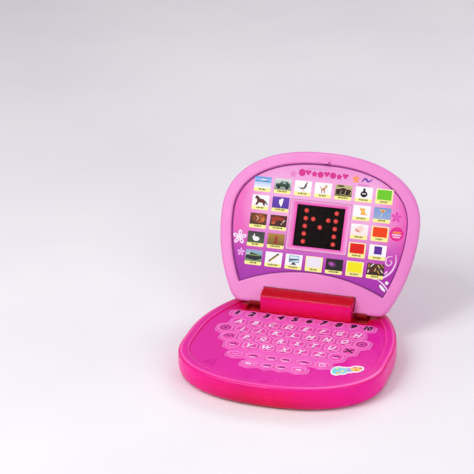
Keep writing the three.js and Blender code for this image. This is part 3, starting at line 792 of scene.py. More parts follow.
def strip_cells(name):
    """The caps of each joined row as (x, y, width, depth) of their cells."""
    low, high = local_box(name, BASE_SPACE)
    middle = (low.y + high.y) / 2
    if name == "number_key_strip":
        pitch = (high.x - low.x + KEY_GAP) / 10
        return [(x, middle, pitch, high.y - low.y + KEY_GAP) for x in centred(10, pitch)]
    if name in ("function_keys_left", "function_keys_right"):
        side = -1 if high.x < 0 else 1
        return [(side * KEY_PITCH * (9 - row) / 2, (2 - row) * ROW_PITCH, KEY_PITCH, HEX_DEPTH)
                for row in (1, 2, 3)]
    wide, narrow, depth = 20.6, 16.4, high.y - low.y + KEY_GAP
    centres = {"function_keys_front": (29.2, 50), "function_keys_bottom": (28,)}[name]
    cells = [(x, middle, narrow, depth) for x in (-8.2, 8.2)]
    for x in centres:
        cells = [(-x, middle, wide, depth), *cells, (x, middle, wide, depth)]
    return cells


LETTERS = "ABCDEFGHIJKLMNOPQRSTUVWXYZ"
STRIP_NAMES = ("number_key_strip", "function_keys_left", "function_keys_right",
               "function_keys_front", "function_keys_bottom")
LETTER_CELLS = {}
for letter in LETTERS:
    key_x, key_y, key_width, _ = key_place("key_" + letter.lower())
    LETTER_CELLS[letter] = (key_x, key_y, key_width + KEY_GAP, HEX_DEPTH)
STRIP_CELLS = {name: strip_cells(name) for name in STRIP_NAMES}
CELLS = [*LETTER_CELLS.values(), *[place for places in STRIP_CELLS.values() for place in places]]
# plain blocks that fill in between the rows: (y, half width, half depth)
FILLERS = [(55.25, 78, 5.25), (45, 74, 10), (-28, 54, 10.6), (-47, 32, 8.5)]


def pad_distance(x, y):
    """How far points lie outside the keypad's cells, with soft corners."""
    cx, cy, width, depth = (column[:, None] for column in np.array(CELLS).T)
    dx, dy = np.sqrt((x - cx) ** 2 + 1.4), np.abs(y - cy)
    flank = dx - width / 2
    tip = (dx * depth / 4 + (dy - depth / 2) * width / 2) / np.hypot(depth / 4, width / 2)
    cells = 1.1 * np.logaddexp(flank / 1.1, tip / 1.1)
    fy, half_x, half_y = (column[:, None] for column in np.array(FILLERS).T)
    fillers = np.maximum(np.abs(x) - half_x, np.abs(y - fy) - half_y)
    return -0.7 * np.logaddexp.reduce(-np.concatenate([cells, fillers]) / 0.7)


def pad_slope(x, y):
    step = 0.02
    values = pad_distance(np.concatenate([x + step, x - step, x, x]),
                          np.concatenate([y, y, y + step, y - step])).reshape(4, -1)
    return (values[0] - values[1]) / step / 2, (values[2] - values[3]) / step / 2


def to_level(x, y, level):
    """Moves points along the slope until they lie at a distance from the keypad's cells."""
    for _ in range(3):
        dx, dy = pad_slope(x, y)
        miss = (pad_distance(x, y) - level) / (dx * dx + dy * dy)
        x, y = x - dx * miss, y - dy * miss
    return x, y


def pad_outline(level, step=0.8):
    """Walks once round the keypad at a level, counter-clockwise."""
    x, y = to_level(np.array([HALF_WIDTH * 0.8]), np.array([ROW_PITCH]), level)
    points = [(float(x[0]), float(y[0]))]
    while len(points) < 10 or math.dist(points[-1], points[0]) > step:
        dx, dy = pad_slope(x, y)
        scale = step / np.hypot(dx, dy)
        x, y = to_level(x - dy * scale, y + dx * scale, level)
        points.append((float(x[0]), float(y[0])))
    return points


PAD_BORDER = box_mm("keypad_bezel")[1].x - max(x + w / 2 for x, _, w, _ in CELLS)
PAD_EDGE = pad_outline(PAD_BORDER)


def pad_ring(level):
    x, y = to_level(*np.array(PAD_EDGE).T, level)
    return list(zip(x.tolist(), y.tolist()))


def screw_posts():
    return [(side * x, y) for x, y in ((102, 20), (92, -40), (30, -86), (91, 73)) for side in (-1, 1)]


def foot_places():
    names = [n for n in frame["nodes"] if n.startswith("foot_")]
    return {n: (box_mm(n)[0] + box_mm(n)[1]) / 2 for n in names}


def lower_shell():
    outer = smooth_line([
        (8, UNDERSIDE), (5, UNDERSIDE + 0.3), (3, 2.9), (1.5, 4.8), (0.7, 7.5), (0.1, 12), (0, 16),
        (0.15, 21), (0.5, SEAM),
    ], 3)
    inner = [(2.6, SEAM), (2.4, 12), (3.6, 6.5), (9, FLOOR_TOP)]
    tub = loft(base_outline, [*outer, *inner])
    door_low, door_high = local_box("battery_cover", BASE_SPACE)
    gap = 0.4
    bay = block((door_low.x - gap, door_low.y - gap, 0), (door_high.x + gap, door_high.y + gap, 19.4))
    walls = block((door_low.x - 2.2, door_low.y - 2.2, 2), (door_high.x + 2.2, door_high.y + 2.2, 20.6))
    holes = [prism(ellipse(place, SCREW_HOLE, SCREW_HOLE), 0, 9) for place in screw_posts()]
    seat = FOOT_RADIUS + 0.6
    seats = [prism(ellipse((p.x, p.y - PLAN_Y), seat, seat, 32), 0, 2.65) for p in foot_places().values()]
    posts = [prism(ellipse(place, POST_RADIUS, POST_RADIUS), 3, DECK_BOTTOM - GAP) for place in screw_posts()]
    body = combined(tub, [walls, *posts], "UNION")
    return cut(body, [bay, *holes, *seats])


def speaker_holes():
    """A triangle of holes over the loudspeaker: one in the first column, five in the last."""
    speaker = sum(local_box("speaker", BASE_SPACE), Vector()) / 2
    spacing = 3.6
    places = []
    for row in range(5):
        for i in range(row + 1):
            places.append((speaker.x + (row - 2.6) * spacing * 0.87, speaker.y + (i - row / 2) * spacing))
    return [prism(ellipse(place, 0.9, 0.9, 14), DECK_BOTTOM - 1, DECK + 1) for place in places]


def upper_shell():
    outer = smooth_line([
        (0.55, SEAM + 0.12), (0.75, 26.9), (1.5, 27.6), (2.7, 28.2), (4.2, 28.6), (6.0, RIM),
    ], 3)
    inner = smooth_line([
        (RIM_WIDTH - 2.4, RIM), (RIM_WIDTH - 1.4, 28.65), (RIM_WIDTH - 0.7, 28.1),
        (RIM_WIDTH - 0.3, 27.2), (RIM_WIDTH + 0.1, 26.65), (RIM_WIDTH + 0.7, DECK),
    ], 3)
    deck = loft(base_outline, [(3, DECK_BOTTOM), (3, SEAM + 0.12), *outer, *inner, (RIM_WIDTH + 2, DECK)])
    pad = prism(pad_outline(PAD_BORDER + GAP), DECK_BOTTOM - 1, DECK + 1)
    pockets = [prism(rectangle(*POCKET_HALF, place), DECK_BOTTOM - 1, RIM + 1) for place in POCKET_PLACES]
    trays = []
    for place in POCKET_PLACES:
        room = prism(rectangle(*POCKET_HALF, place), TRAY_FLOOR + 1, RIM)
        trays.append(cut(prism(rectangle(9.4, 10.8, place), TRAY_FLOOR, DECK - 0.6), [room]))
    seat = block((-COVER_HALF - 0.5, 65, DECK), (COVER_HALF + 0.5, 95, RIM + 1))
    catch = prism(rectangle(5, 2.4, (0, -89), 0.8), DECK_BOTTOM - 1, RIM + 1)
    wires = block((-48, 70, DECK_BOTTOM - 1), (48, 90, DECK + 0.5))
    body = cut(deck, [pad, catch, *speaker_holes()])
    body = cut(body, [*pockets, seat])
    return cut(body, [wires]), merged(trays)


def hinge_cover():
    barrel = [
        (HINGE_Y + BARREL_RADIUS * math.cos(angle), HINGE_Z + BARREL_RADIUS * math.sin(angle))
        for angle in steps(math.radians(34), math.radians(131), 28)
    ]
    section = [(94.5, 26.85), *corner_curve((94.5, 39.5), (94.5, 41.6), barrel[0], 6), *barrel[1:-1],
               *corner_curve(barrel[-1], (66.75, 45.4), (66.6, 43.5), 6), (65.5, 26.85)]
    ends = [(0.9, 0.0), (0.4, 0.15), (0.1, 0.5), (0, 1.0)]
    width = COVER_HALF * 2
    profile = [*ends, *[(d, width - x) for d, x in reversed(ends)]]
    shell = moved(along_x(loft(section, profile)), dx=-COVER_HALF)
    hollow = block((-COVER_HALF + 2, 68.7, 0), (COVER_HALF - 2, 92.3, 41.2))
    bores = [
        moved(along_x(prism(ellipse((HINGE_Y, HINGE_Z), radius, radius, 32), 0, 4)), dx=start)
        for radius, start in ((PIN_BORE, COVER_HALF - 3), (HOLLOW_PIN_BORE, -COVER_HALF - 1))
    ]
    return cut(cut(shell, [hollow]), bores)


Piece("lower_shell", BASE_SPACE).add(lower_shell(), HOT_PINK).finish(
    "base", "base_pink", ["base_lower_shell"])
deck, trays = upper_shell()
# the pocket trays take the cover plastic's dark red, a painted shade in the pockets
Piece("upper_shell", BASE_SPACE).add(deck, MAGENTA).add(trays, COVER_PINK).finish(
    "base", "deck_magenta", ["base_upper_shell"])
Piece("hinge_block", BASE_SPACE).add(hinge_cover(), COVER_PINK).finish(
    "base", "base_pink", ["hinge_cover"])

FOOT_PROFILE = [(0, 0), (5.2, 0), (5.8, 0.25), (FOOT_RADIUS, 0.8), (FOOT_RADIUS, 2.3), (0, 2.3)]
for foot, place in foot_places().items():
    pad = lathe(FOOT_PROFILE, (place.x, place.y - PLAN_Y))
    Piece(foot + "_pad", BASE_SPACE).add(pad, RUBBER).finish("base", "foot_rubber", [foot])


# ---------------------------------------------------------------- the keypad


PRINT_SINK = 0.02
PRINT_LAYER = 0.03
WHITE_INK = srgb(254, 228, 248)
PALE_INK = srgb(255, 186, 238)
DARK_INK = srgb(52, 8, 44)
PLUM_INK = srgb(140, 40, 130)
SHADOW_INK = srgb(196, 74, 170)

CAP_PROFILE = smooth_line([
    (0, KEY_BOTTOM), (0, KEY_TOP - 0.9), (0.15, KEY_TOP - 0.4), (0.5, KEY_TOP - 0.06), (1.0, KEY_TOP),
    (1.8, KEY_TOP - 0.1), (2.6, KEY_FACE), (3.4, KEY_FACE),
], 2)
FLAT_PROFILE = [point for point in CAP_PROFILE if point[0] <= 1] + [(3.4, KEY_TOP)]
FLAT_TONE = (0.45, 0.45, 0.45)


def cap_shape(x, y, width, depth):
    def outline(shrink):
        reach = KEY_GAP + shrink * 2
        radius = max(KEY_CORNER - shrink * 0.7, 0.8)
        return cell(x, y, width - reach, depth - reach * HEX_REACH, radius)
    return loft(outline, CAP_PROFILE)


def number_cell(x, y, width, depth, reach):
    """The number keys have straight front and back edges; the outermost two are narrower."""
    narrowing = 1 if abs(x) > width * 4 else 0
    return rectangle((width - reach) / 2 - narrowing, (depth - reach) / 2 - 0.9, (x, y), 5.3)


def number_cap(x, y, width, depth):
    return loft(lambda shrink: number_cell(x, y, width, depth, KEY_GAP + shrink * 2), FLAT_PROFILE)


def ridge(point):
    """1 on the ridge round a cap, where the pale painted highlight lies; 0 in its face and low on its side.
    """
    lift = (point[2] - KEY_FACE - 0.04) / (KEY_TOP - KEY_FACE - 0.08)
    return (max(0, min(1, lift)),) * 3


def stroke(points, widths, count=5):
    """A tapering ribbon along a smooth line."""
    line = smooth_line([(*p, w) for p, w in zip(points, widths)], count)
    left, right = [], []
    for i, (x, y, width) in enumerate(line):
        ahead, behind = line[min(i + 1, len(line) - 1)], line[max(i - 1, 0)]
        along = Vector((ahead[0] - behind[0], ahead[1] - behind[1])).normalized()
        left.append((x - along.y * width / 2, y + along.x * width / 2))
        right.append((x + along.y * width / 2, y - along.x * width / 2))
    return right + left[::-1]


def mark(points, level=0):
    """A printed mark on a key face; a higher level lies on top of a lower one."""
    return prism(points, KEY_FACE - PRINT_SINK, KEY_FACE + (level + 2) * PRINT_LAYER)


def letter_key(letter, place):
    name = "key_" + letter.lower()
    x, y, _, _ = place
    piece = Piece(name + "_cap", BASE_SPACE)
    piece.add(cap_shape(*place), KEY_PINK, ridge)
    face = glyph(letter, 7.2, 1.0, 0.5)
    # a pale painted highlight curving under the letter, along the key's front ridge
    highlight_curve = [(x - 7.2, y - 2.2), (x - 3, y - 3.1), (x + 3, y - 3.1), (x + 7.2, y - 2.2)]
    piece.add(mark(stroke(highlight_curve, [0.5, 1.2, 1.2, 0.5])), INK, PALE_INK)
    piece.add(moved(face, x + 0.7, y + 1.2, KEY_FACE + 0.05), INK, SHADOW_INK)
    piece.add(moved(face, x, y + 1.6, KEY_FACE + 0.09), INK, WHITE_INK)
    piece.add(mark(rectangle(1.2, 0.7, (x + 0.2, y - 4.9), 0.5)), INK, PLUM_INK)
    piece.finish(name, "key_pink", [name])


for letter, place in LETTER_CELLS.items():
    letter_key(letter, place)


def number_marks(piece, cells):
    """Bold numbers, each with a pale halo that lies a little towards the front."""
    height, slant = 8.8, 0.2
    for value, (x, y, _, _) in enumerate(cells, 1):
        stretch, bold = (1.05, 1.1) if value < 10 else (0.8, 0.85)
        face = glyph(str(value), height, stretch, bold, slant)
        halo = glyph(str(value), height, stretch, bold + 0.2, slant)
        piece.add(moved(halo, x + 0.1, y - 0.25, KEY_TOP + 0.03), INK, PALE_INK)
        piece.add(moved(face, x, y, KEY_TOP + 0.11), INK, DARK_INK)


def ring(centre, outer, inner, count=20):
    """A flat ring as a row of quads round the centre."""
    a, b = ellipse(centre, outer, outer, count), ellipse(centre, inner, inner, count)
    return [[a[i - 1], a[i], b[i], b[i - 1]] for i in range(count)]


def bar(start, end, width):
    """A straight strip between two points."""
    a, b = Vector(start), Vector(end)
    side = (b - a).normalized().orthogonal() * width / 2
    points = [tuple(a - side), tuple(b - side), tuple(b + side), tuple(a + side)]
    return points if area(points) > 0 else points[::-1]


def bar_marks(piece, x, y):
    """Two short printed lines, a dark one over a pale one."""
    piece.add(mark(rectangle(3.7, 1.3, (x + 0.4, y + 0.9), 0.8)), INK, PLUM_INK)
    piece.add(mark(rectangle(3.7, 0.8, (x - 0.4, y - 2.1), 0.6)), INK, PALE_INK)


def side_marks(piece, cells, side):
    (x0, y0, _, _), (x1, y1, _, _), (x2, y2, _, _) = cells
    for part in ring((x0, y0 + 0.3), 5.6, 4.2):
        piece.add(mark(part), INK, PLUM_INK)
    piece.add(mark(ellipse((x0, y0 + 0.3), 2.0, 2.0)), INK, PLUM_INK)
    if side < 0:
        zigzag = [(x1 - 5.6, y1 - 2.4), (x1 - 2.8, y1 + 3), (x1, y1 - 1.6), (x1 + 2.8, y1 + 3),
                  (x1 + 5.6, y1 - 2.4)]
        for i, (start, end) in enumerate(zip(zigzag, zigzag[1:])):
            piece.add(mark(bar(start, end, 1.4), level=i % 2), INK, PLUM_INK)
    else:
        piece.add(mark(bar((x1 - 5, y1 - 4.4), (x1 + 5, y1 + 4.4), 2.0)), INK, DARK_INK)
        piece.add(mark(bar((x1 + 5, y1 - 4.4), (x1 - 5, y1 + 4.4), 2.0), level=1), INK, DARK_INK)
    bar_marks(piece, x2, y2)


def front_marks(piece, cells):
    for x, y, _, _ in cells[1:-1]:
        bar_marks(piece, x, y)
    x, y, _, _ = cells[0]
    for dx in (-2.6, 0, 2.6):
        piece.add(mark(ellipse((x + dx, y), 0.9, 0.9, 12)), INK, PALE_INK)
    x, y, _, _ = cells[-1]
    for part in ring((x, y), 3.9, 2.9):
        piece.add(mark(part), INK, WHITE_INK)
    piece.add(mark(rectangle(0.6, 1.9, (x, y + 2.6)), level=1), INK, WHITE_INK)


def bottom_marks(piece, cells):
    for x, y, _, _ in cells[1:-1]:
        bar_marks(piece, x, y)
    x, y, _, _ = cells[0]
    piece.add(mark(rectangle(3.6, 1.5, (x - 1.5, y), 1.2)), INK, WHITE_INK)
    piece.add(mark(rectangle(1.5, 0.8, (x + 4.8, y), 0.6)), INK, PALE_INK)
    x, y, _, _ = cells[-1]
    piece.add(mark(rectangle(3.0, 1.2, (x, y), 1.0)), INK, WHITE_INK)


STRIPS = {
    "number_key_strip": number_marks,
    "function_keys_left": lambda piece, cells: side_marks(piece, cells, -1),
    "function_keys_right": lambda piece, cells: side_marks(piece, cells, 1),
    "function_keys_front": front_marks,
    "function_keys_bottom": bottom_marks,
}

for name, add_marks in STRIPS.items():
    strip = Piece(name + "_caps", BASE_SPACE)
    for place in STRIP_CELLS[name]:
        if name == "number_key_strip":
            strip.add(number_cap(*place), KEY_PINK, FLAT_TONE)
        else:
            strip.add(cap_shape(*place), KEY_PINK, ridge)
    add_marks(strip, STRIP_CELLS[name])
    strip.finish(name, "key_pink", [name])


def keypad_frame():
    """The raised scalloped border and the thin webs between the caps."""
    bottom, top = 24.6, PAD_TOP
    border = [
        (0, bottom), (0, 26.5), (0.1, 26.9), (0.4, top - 0.15), (0.9, top), (1.4, top - 0.08),
        (1.8, top - 0.3), (2.05, WEB_TOP), (2.1, bottom),
    ]
    plate = prism(pad_ring(PAD_BORDER - 1), bottom, WEB_TOP)
    openings = []
    reach = KEY_GAP - WEB_CLEARANCE * 2
    for place in CELLS:
        x, y, width, depth = place
        if place in STRIP_CELLS["number_key_strip"]:
            opening = number_cell(*place, reach)
        else:
            opening = cell(x, y, width - reach, depth - reach * HEX_REACH)
        openings.append(prism(opening, 20, 30))
    return cut(plate, openings), band([(pad_ring(PAD_BORDER - d), z) for d, z in border])


webs, border_ridge = keypad_frame()
Piece("keypad_frame", BASE_SPACE).add(webs, PAD_PINK).add(border_ridge, PAD_PINK).finish(
    "base", "key_edge_pink", ["keypad_bezel"])


# ---------------------------------------------------------------- the lid


def span(side, near, far):
    """The lower and the higher x of a range on one side of the middle."""
    return sorted((side * near, side * far))


def lid_notch(grow=0):
    """The room in the lid for the hinge cover, or a larger room for the walls beside it."""
    return block((-NOTCH_HALF - grow, -20, -20), (NOTCH_HALF + grow, NOTCH_TOP + grow, 20))


def lug(side):
    section = [(3, -3.6), (3, 3.2), *corner_curve((-1, 3.2), (-5.2, 3.0), (-5.2, -0.4), 8),
               *corner_curve((-5.2, -0.4), (-5.0, -3.6), (-2, -3.6), 8)[1:]]
    low, high = span(side, *LUG_SPAN)
    ends = [(0.5, 0.0), (0.15, 0.15), (0, 0.5)]
    profile = [*ends, *[(d, high - low - x) for d, x in reversed(ends)]]
    return moved(along_x(loft(section, profile)), dx=low)


def pin_bore(side, radius):
    low, high = span(side, NOTCH_HALF - 1, LUG_SPAN[1] - 3)
    return moved(along_x(prism(ellipse((0, 0), radius, radius, 32), 0, high - low)), dx=low)


def lid_frame():
    edge = smooth_line([
        (0, LID_SEAM + 1), (0, 1.2), (0.25, 2.1), (0.9, 2.85), (2.0, 3.3), (3.4, LID_FRONT),
    ], 4)
    plate = loft(lid_outline, [(0.4, LID_SEAM), *edge, (4.4, LID_FRONT)])
    card = card_outline()
    opening = loft(card, [
        (-0.35, -5), (-0.35, 2.1), (-0.5, 2.7), (-0.95, 3.2), (-1.7, 3.45), (-2.4, LID_FRONT + 0.02),
        (-2.6, 8),
    ])
    latch_seat = block((-4.4, 165.9, -2), (4.4, 169.1, LID_FRONT + 1))
    body = cut(cut(cut(plate, [opening]), [lid_notch()]), [latch_seat])
    bores = [pin_bore(1, PIN_BORE), pin_bore(-1, HOLLOW_PIN_BORE)]
    return cut(body, bores), cut(merged([lug(-1), lug(1)]), bores)


def lid_rear():
    outer = smooth_line([
        (24, LID_BACK + 0.7), (22.5, LID_BACK + 0.6), (21.4, LID_BACK + 0.1), (20.4, LID_BACK),
        (9, LID_BACK + 0.25), (5.6, LID_BACK + 1.0), (3.0, LID_BACK + 2.3), (1.2, LID_BACK + 4.3),
        (0.4, LID_BACK + 6.3), (0.2, LID_SEAM - 2), (0.4, LID_SEAM - 0.35),
    ], 3)
    inner = [
        (12, LID_BACK + 1.7), (6, LID_BACK + 2.9), (3.2, LID_BACK + 5), (2.4, LID_SEAM + 2),
    ]
    shell = cut(loft(lid_outline, outer), [lid_notch()])
    hollow = cut(loft(lid_outline, inner), [lid_notch(2)])
    rooms = []
    for side in (-1, 1):
        low, high = span(side, NOTCH_HALF - 1, LUG_SPAN[1] + 0.6)
        rooms.append(block((low, -5, -4.2), (high, 3.6, 3)))
    return cut(cut(shell, [hollow]), rooms)


def card_body():
    low, high = bezel_low, bezel_high
    hole = rectangle((high.x - low.x) / 2 + GAP, (high.y - low.y) / 2 + GAP, (0, SCREEN_Y), 1.2)
    return cut(prism(card_outline(), card_low.z, CARD_FACE), [prism(hole, -5, 5)])


def screen_bezel():
    half_x, half_y = bezel_high.x, (bezel_high.y - bezel_low.y) / 2
    block_shape = loft(rectangle(half_x, half_y, (0, SCREEN_Y), 1.2), [
        (0, bezel_low.z), (0, CARD_FACE - 0.25), (0.3, CARD_FACE),
    ])

    def mouth_outline(depth):
        """From the bezel's face (0) to the window behind it (1)."""
        x = half_x - 1 + (OPENING_HALF[0] - half_x + 1) * depth
        y = half_y - 1 + (OPENING_HALF[1] - half_y + 1) * depth
        return rectangle(x, y, (0, SCREEN_Y), 1.2 - depth * 0.8)

    mouth = loft(mouth_outline, [
        (1, bezel_low.z - 0.3), (1, bezel_low.z + 0.5), (0.06, CARD_FACE - 0.1), (0, CARD_FACE + 0.3),
    ])
    return cut(block_shape, [mouth])


def led_module():
    piece = Piece("led_module", LID_SPACE)
    board = block((led_low.x, led_low.y, led_low.z), (led_high.x, led_high.y, led_low.z + 1.4))
    piece.add(board, LED_BLACK)
    # the letter M, as (column, row) from the lower left
    lit = {(side, row) for side in (0, 4) for row in range(5)} | {(1, 3), (2, 2), (3, 3)}
    foot, top = led_low.z + 1, led_high.z
    dome = [(0, foot), (LED_RADIUS, foot), (LED_RADIUS, top - 0.9), (2.3, top - 0.4), (1.3, top - 0.08),
            (0, top)]

    def crown(point, centre):
        """1 in the middle of a dome, 0 at its edge."""
        away = math.hypot(point[0] - centre[0], point[1] - centre[1])
        return (max(0, 1 - away / (LED_RADIUS + 0.1)),) * 3

    for column, x in enumerate(centred(5, LED_PITCH)):
        for row, y in enumerate(centred(5, LED_PITCH)):
            centre = (x, SCREEN_Y + y)
            material = LED_LIT if (column, row) in lit else LED_DARK
            piece.add(lathe(dome, centre, 20), material, lambda p, c=centre: crown(p, c))
    piece.finish("lid", "led_black", ["led_board"])


plate, lugs = lid_frame()
# the lugs take a painted shade
Piece("lid_frame", LID_SPACE).add(plate, ORCHID).add(lugs, LUG_SHADE_RED).finish(
    "lid", "lid_pink", ["lid_front_frame"])
Piece("lid_back", LID_SPACE).add(lid_rear(), ORCHID).finish("lid", "lid_pink", ["lid_rear_shell"])
Piece("picture_card", LID_SPACE).add(card_body(), CARD).finish("lid", "card_print", ["display_card"])
Piece("screen_frame", LID_SPACE).add(screen_bezel(), BEVEL_PINK).finish(
    "lid", "card_bevel_pink", ["screen_bezel"])
led_module()


# ---------------------------------------------------------------- the printed card


class Print:
    """Printed shapes on a face, each in its own thin layer, at a place that can be set."""

    def __init__(self, name, space, face):
        self.piece = Piece(name, space)
        self.face = face
        self.origin = (0, 0)

    def at(self, x, y):
        self.origin = (x, y)

    def draw(self, points, colour, layer=1, lower_colour=None):
        """Colours are 0 to 255; lower_colour makes a gradient that ends at the lowest point."""
        x0, y0 = self.origin
        placed = [(x0 + x, y0 + y) for x, y in points]
        if area(placed) < 0:
            placed.reverse()
        low, high = min(p[1] for p in placed), max(p[1] for p in placed)
        upper, lower = srgb(*colour), srgb(*(lower_colour or colour))

        def blend(point):
            t = (point[1] - low) / (high - low)
            return tuple(a * t + b * (1 - t) for a, b in zip(upper, lower))

        shape = prism(placed, self.face - PRINT_SINK, self.face + layer * PRINT_LAYER)
        self.piece.add(shape, INK, blend if lower_colour else upper)


BLACK = (26, 22, 26)
WHITE = (250, 248, 252)
CREAM = (252, 246, 150)
PALE_CREAM = (253, 246, 190)
CAPTION_BROWN = (92, 80, 26)
PINK = (212, 40, 140)
ORANGE = (250, 150, 40)
VIOLET = (96, 58, 168)
LILAC = (246, 214, 244)

TILE_HALF = (10.1, 8.65)
PICTURE_HALF = (10.1, 6.65)
PICTURE_Y = 2.0
CAPTION_Y = -6.2
TILE_COLUMNS = centred(7, 24.27)
TILE_ROWS = [SCREEN_Y + dy for dy in (42.7, 21.3, -0.2, -21.6, -43.2)]


def corners(*numbers):
    """Corners from a run of x and y."""
    return list(zip(numbers[::2], numbers[1::2]))


def oval(x, y, half_x, half_y, count, turn=0):
    return ellipse((x, y), half_x, half_y, count, turn)


def rod(x0, y0, x1, y1, width):
    return bar((x0, y0), (x1, y1), width)


def panel(x, y, half_x, half_y, radius=0, count=5):
    return rectangle(half_x, half_y, (x, y), radius, count)


def swatch(*colour):
    return (PALE_CREAM, CREAM, [(3, panel, (0, 1.9, 8.5, 5.7, 0.9, 4), colour)])


def herd():
    shapes = [(3, oval, (-4, 7.2, 4.4, 1.3, 14), (92, 84, 36))]
    for x, y, size in ((-6.0, 1.4, 1.05), (-0.4, 2.0, 1.4), (5.8, 1.4, 1.1)):
        shapes += [
            (4, oval, (x, y, 3.3 * size, 2.2 * size, 14), (48, 16, 14)),
            (5, panel, (x, y - 2.4, 2.5 * size, 1.5), (32, 12, 12)),
            (6, rod, (x + 2, y - 3.6, x + 3.4, y + 0.6, 0.6), (196, 176, 130)),
        ]
    return (206, 190, 140), (104, 96, 40), shapes


def stripes():
    colours = [(190, 140, 60), (236, 228, 214), (120, 40, 24), (228, 196, 110)]
    shapes = []
    for i in range(10):
        x, y = -8 + (i % 5) * 3.9, 5.6 - (i // 5) * 5.2 + 1.2 * math.sin(i * 2.1)
        lean = 2.0 * math.sin(i * 1.3)
        shapes.append((3 + i % 2, rod, (x - lean, y - 1.8, x + lean, y + 1.8, 1.1), colours[i % 4]))
    return (72, 50, 34), (54, 36, 26), shapes


# Each picture has a colour at its top, one at its bottom or None, and a list of shapes: the
# layer a shape lies on, its kind, its measures in millimetres and its colour.
SEASIDE = ((80, 150, 222), (238, 244, 250), [
    (3, corners, (-9.5, 2.6, 9.5, 2.6, 9.5, 3.6, 3, 4.4, -2, 3.5, -9.5, 4.2), (60, 140, 190)),
    (3, oval, (1, 5.4, 2.8, 0.6, 12), WHITE),
])
TRUCK = ((214, 226, 220), (120, 132, 118), [
    (3, corners, (-8.5, -1, 8.5, -1, 8.5, 2.4, 5, 5.6, -2, 5.6, -3.6, 3, -8.5, 2.4), (38, 66, 48)),
    (4, oval, (-5, -1.4, 2.1, 2.1, 14), BLACK),
    (4, oval, (5, -1.4, 2.1, 2.1, 14), BLACK),
    (4, corners, (-1, 3, 3.6, 3, 3.6, 4.8, -0.4, 4.8), (150, 180, 176)),
])
BIRD = (WHITE, None, [
    (3, corners, (-6, 1.6, -2.6, 0.4, 1, 1.2, 2.4, 4.6, 3.6, 7.4, 4.6, 6.6, 4.2, 2.6, 2.2, -0.6,
                  -2.4, -1.2), (70, 58, 60)),
    (4, oval, (4.3, 7.0, 1.0, 0.8, 10), (200, 60, 40)),
    (4, panel, (0.6, -2, 0.4, 1.6), ORANGE),
])
DOG = (WHITE, None, [
    (3, oval, (0.4, 1.4, 3.0, 1.6, 14, 0.5), (196, 136, 84)),
    (4, oval, (3.2, 4.8, 1.7, 1.5, 12), (206, 150, 96)),
    (4, panel, (-1.6, -1.4, 0.6, 1.9), (176, 116, 70)),
    (4, panel, (1.8, -1.4, 0.6, 1.9), (176, 116, 70)),
    (4, rod, (-2, 1.4, -4.6, 4.4, 0.8), (176, 116, 70)),
])
POT = (WHITE, None, [
    (3, oval, (0, 0.4, 4.2, 3.6, 20), BLACK),
    (4, corners, (-1.6, 3, 1.6, 3, 1.2, 5.2, -1.2, 5.2), BLACK),
    (5, oval, (0, 6.0, 1.5, 1.2, 12), BLACK),
    (4, panel, (0, 0.9, 2.2, 0.5, 0.3, 3), WHITE),
])
HORSE = (WHITE, None, [
    (3, corners, (-7.4, 5.0, -5.4, 8.0, -3.2, 6.2, -1.0, 4.4, 3.4, 3.8, 6.6, 1.2, 9.0, -1.8,
                6.6, -1.2, 5.4, -0.2, 5.8, -3.6, 3.8, -3.4, 2.2, -0.4, -1.6, -0.4, -4.2, -3.8,
                -6.2, -3.0, -4.4, 0.4, -4.8, 3.6, -6.4, 3.6), (96, 34, 18)),
    (4, corners, (-5.8, 8.2, -3.6, 7.0, -1.0, 4.6, -3.4, 4.4, -4.6, 6.0), BLACK),
    (4, corners, (6.2, 2.0, 9.4, -2.6, 7.4, -2.0, 5.6, 0.4), BLACK),
])
CONE_OF_ICE = ((98, 56, 172), (84, 44, 158), [
    (3, corners, (-2.4, 2.4, 2.8, 3.2, 1.0, -3.2), WHITE),
    (4, oval, (0.2, 4.0, 2.4, 2.0, 16), (236, 232, 244)),
    (5, oval, (1.6, 5.6, 1.5, 1.5, 14), WHITE),
])
SCARF = (WHITE, None, [
    (3, corners, (-3.6, 6.6, -0.8, 5.2, 3.4, 5.8, 3.8, 1.2, 6.4, -2.6, 1.6, -1.6, -1.0, -2.6,
                -0.6, 1.6), (246, 170, 44)),
    (4, corners, (0.2, 4, 2.6, 4.2, 2.8, 0.8, 0.6, 0.4), (250, 200, 90)),
])
KITE = ((122, 152, 204), (150, 172, 214), [
    (3, corners, (-4, 6.4, 4.6, 6.0, 1.8, 4.0, 0.2, 2.4, -1.6, 4.4), (240, 190, 60)),
    (4, oval, (0.2, 4.4, 1.2, 1.0, 10), (220, 70, 50)),
    (3, rod, (0, 2.6, -1.8, -3.2, 0.4), WHITE),
])
MANE = ((104, 54, 22), (70, 34, 14), [
    (3, oval, (1, 2.6, 7.4, 5.2, 18), (160, 78, 26)),
    (4, oval, (-1.4, 2.4, 3.6, 4.0, 16), (120, 50, 20)),
    (5, rod, (-2.6, 5.4, 0.4, 2.8, 1.1), (236, 196, 160)),
    (6, rod, (0.4, 2.8, -2.0, 0.2, 1.0), (226, 170, 130)),
    (4, oval, (5.4, 1.6, 2.2, 2.6, 12), (196, 112, 50)),
])
APE = ((96, 34, 22), (60, 20, 16), [
    (3, oval, (-1, 3.4, 7.6, 3.6, 18), (156, 40, 18)),
    (4, oval, (1.4, 0.8, 4.4, 2.2, 14), (64, 16, 12)),
    (4, oval, (-5.8, -0.6, 2.6, 1.6, 12), (186, 84, 40)),
    (4, rod, (3.4, -1.8, 7.6, 3.6, 1.2), (226, 206, 196)),
])
NOSE = (WHITE, (252, 232, 226), [
    (3, oval, (0.6, 3.0, 4.6, 3.8, 18, 0.5), (252, 214, 200)),
    (4, oval, (-2.4, 1.0, 3.4, 1.2, 14, -0.5), (232, 130, 120)),
])
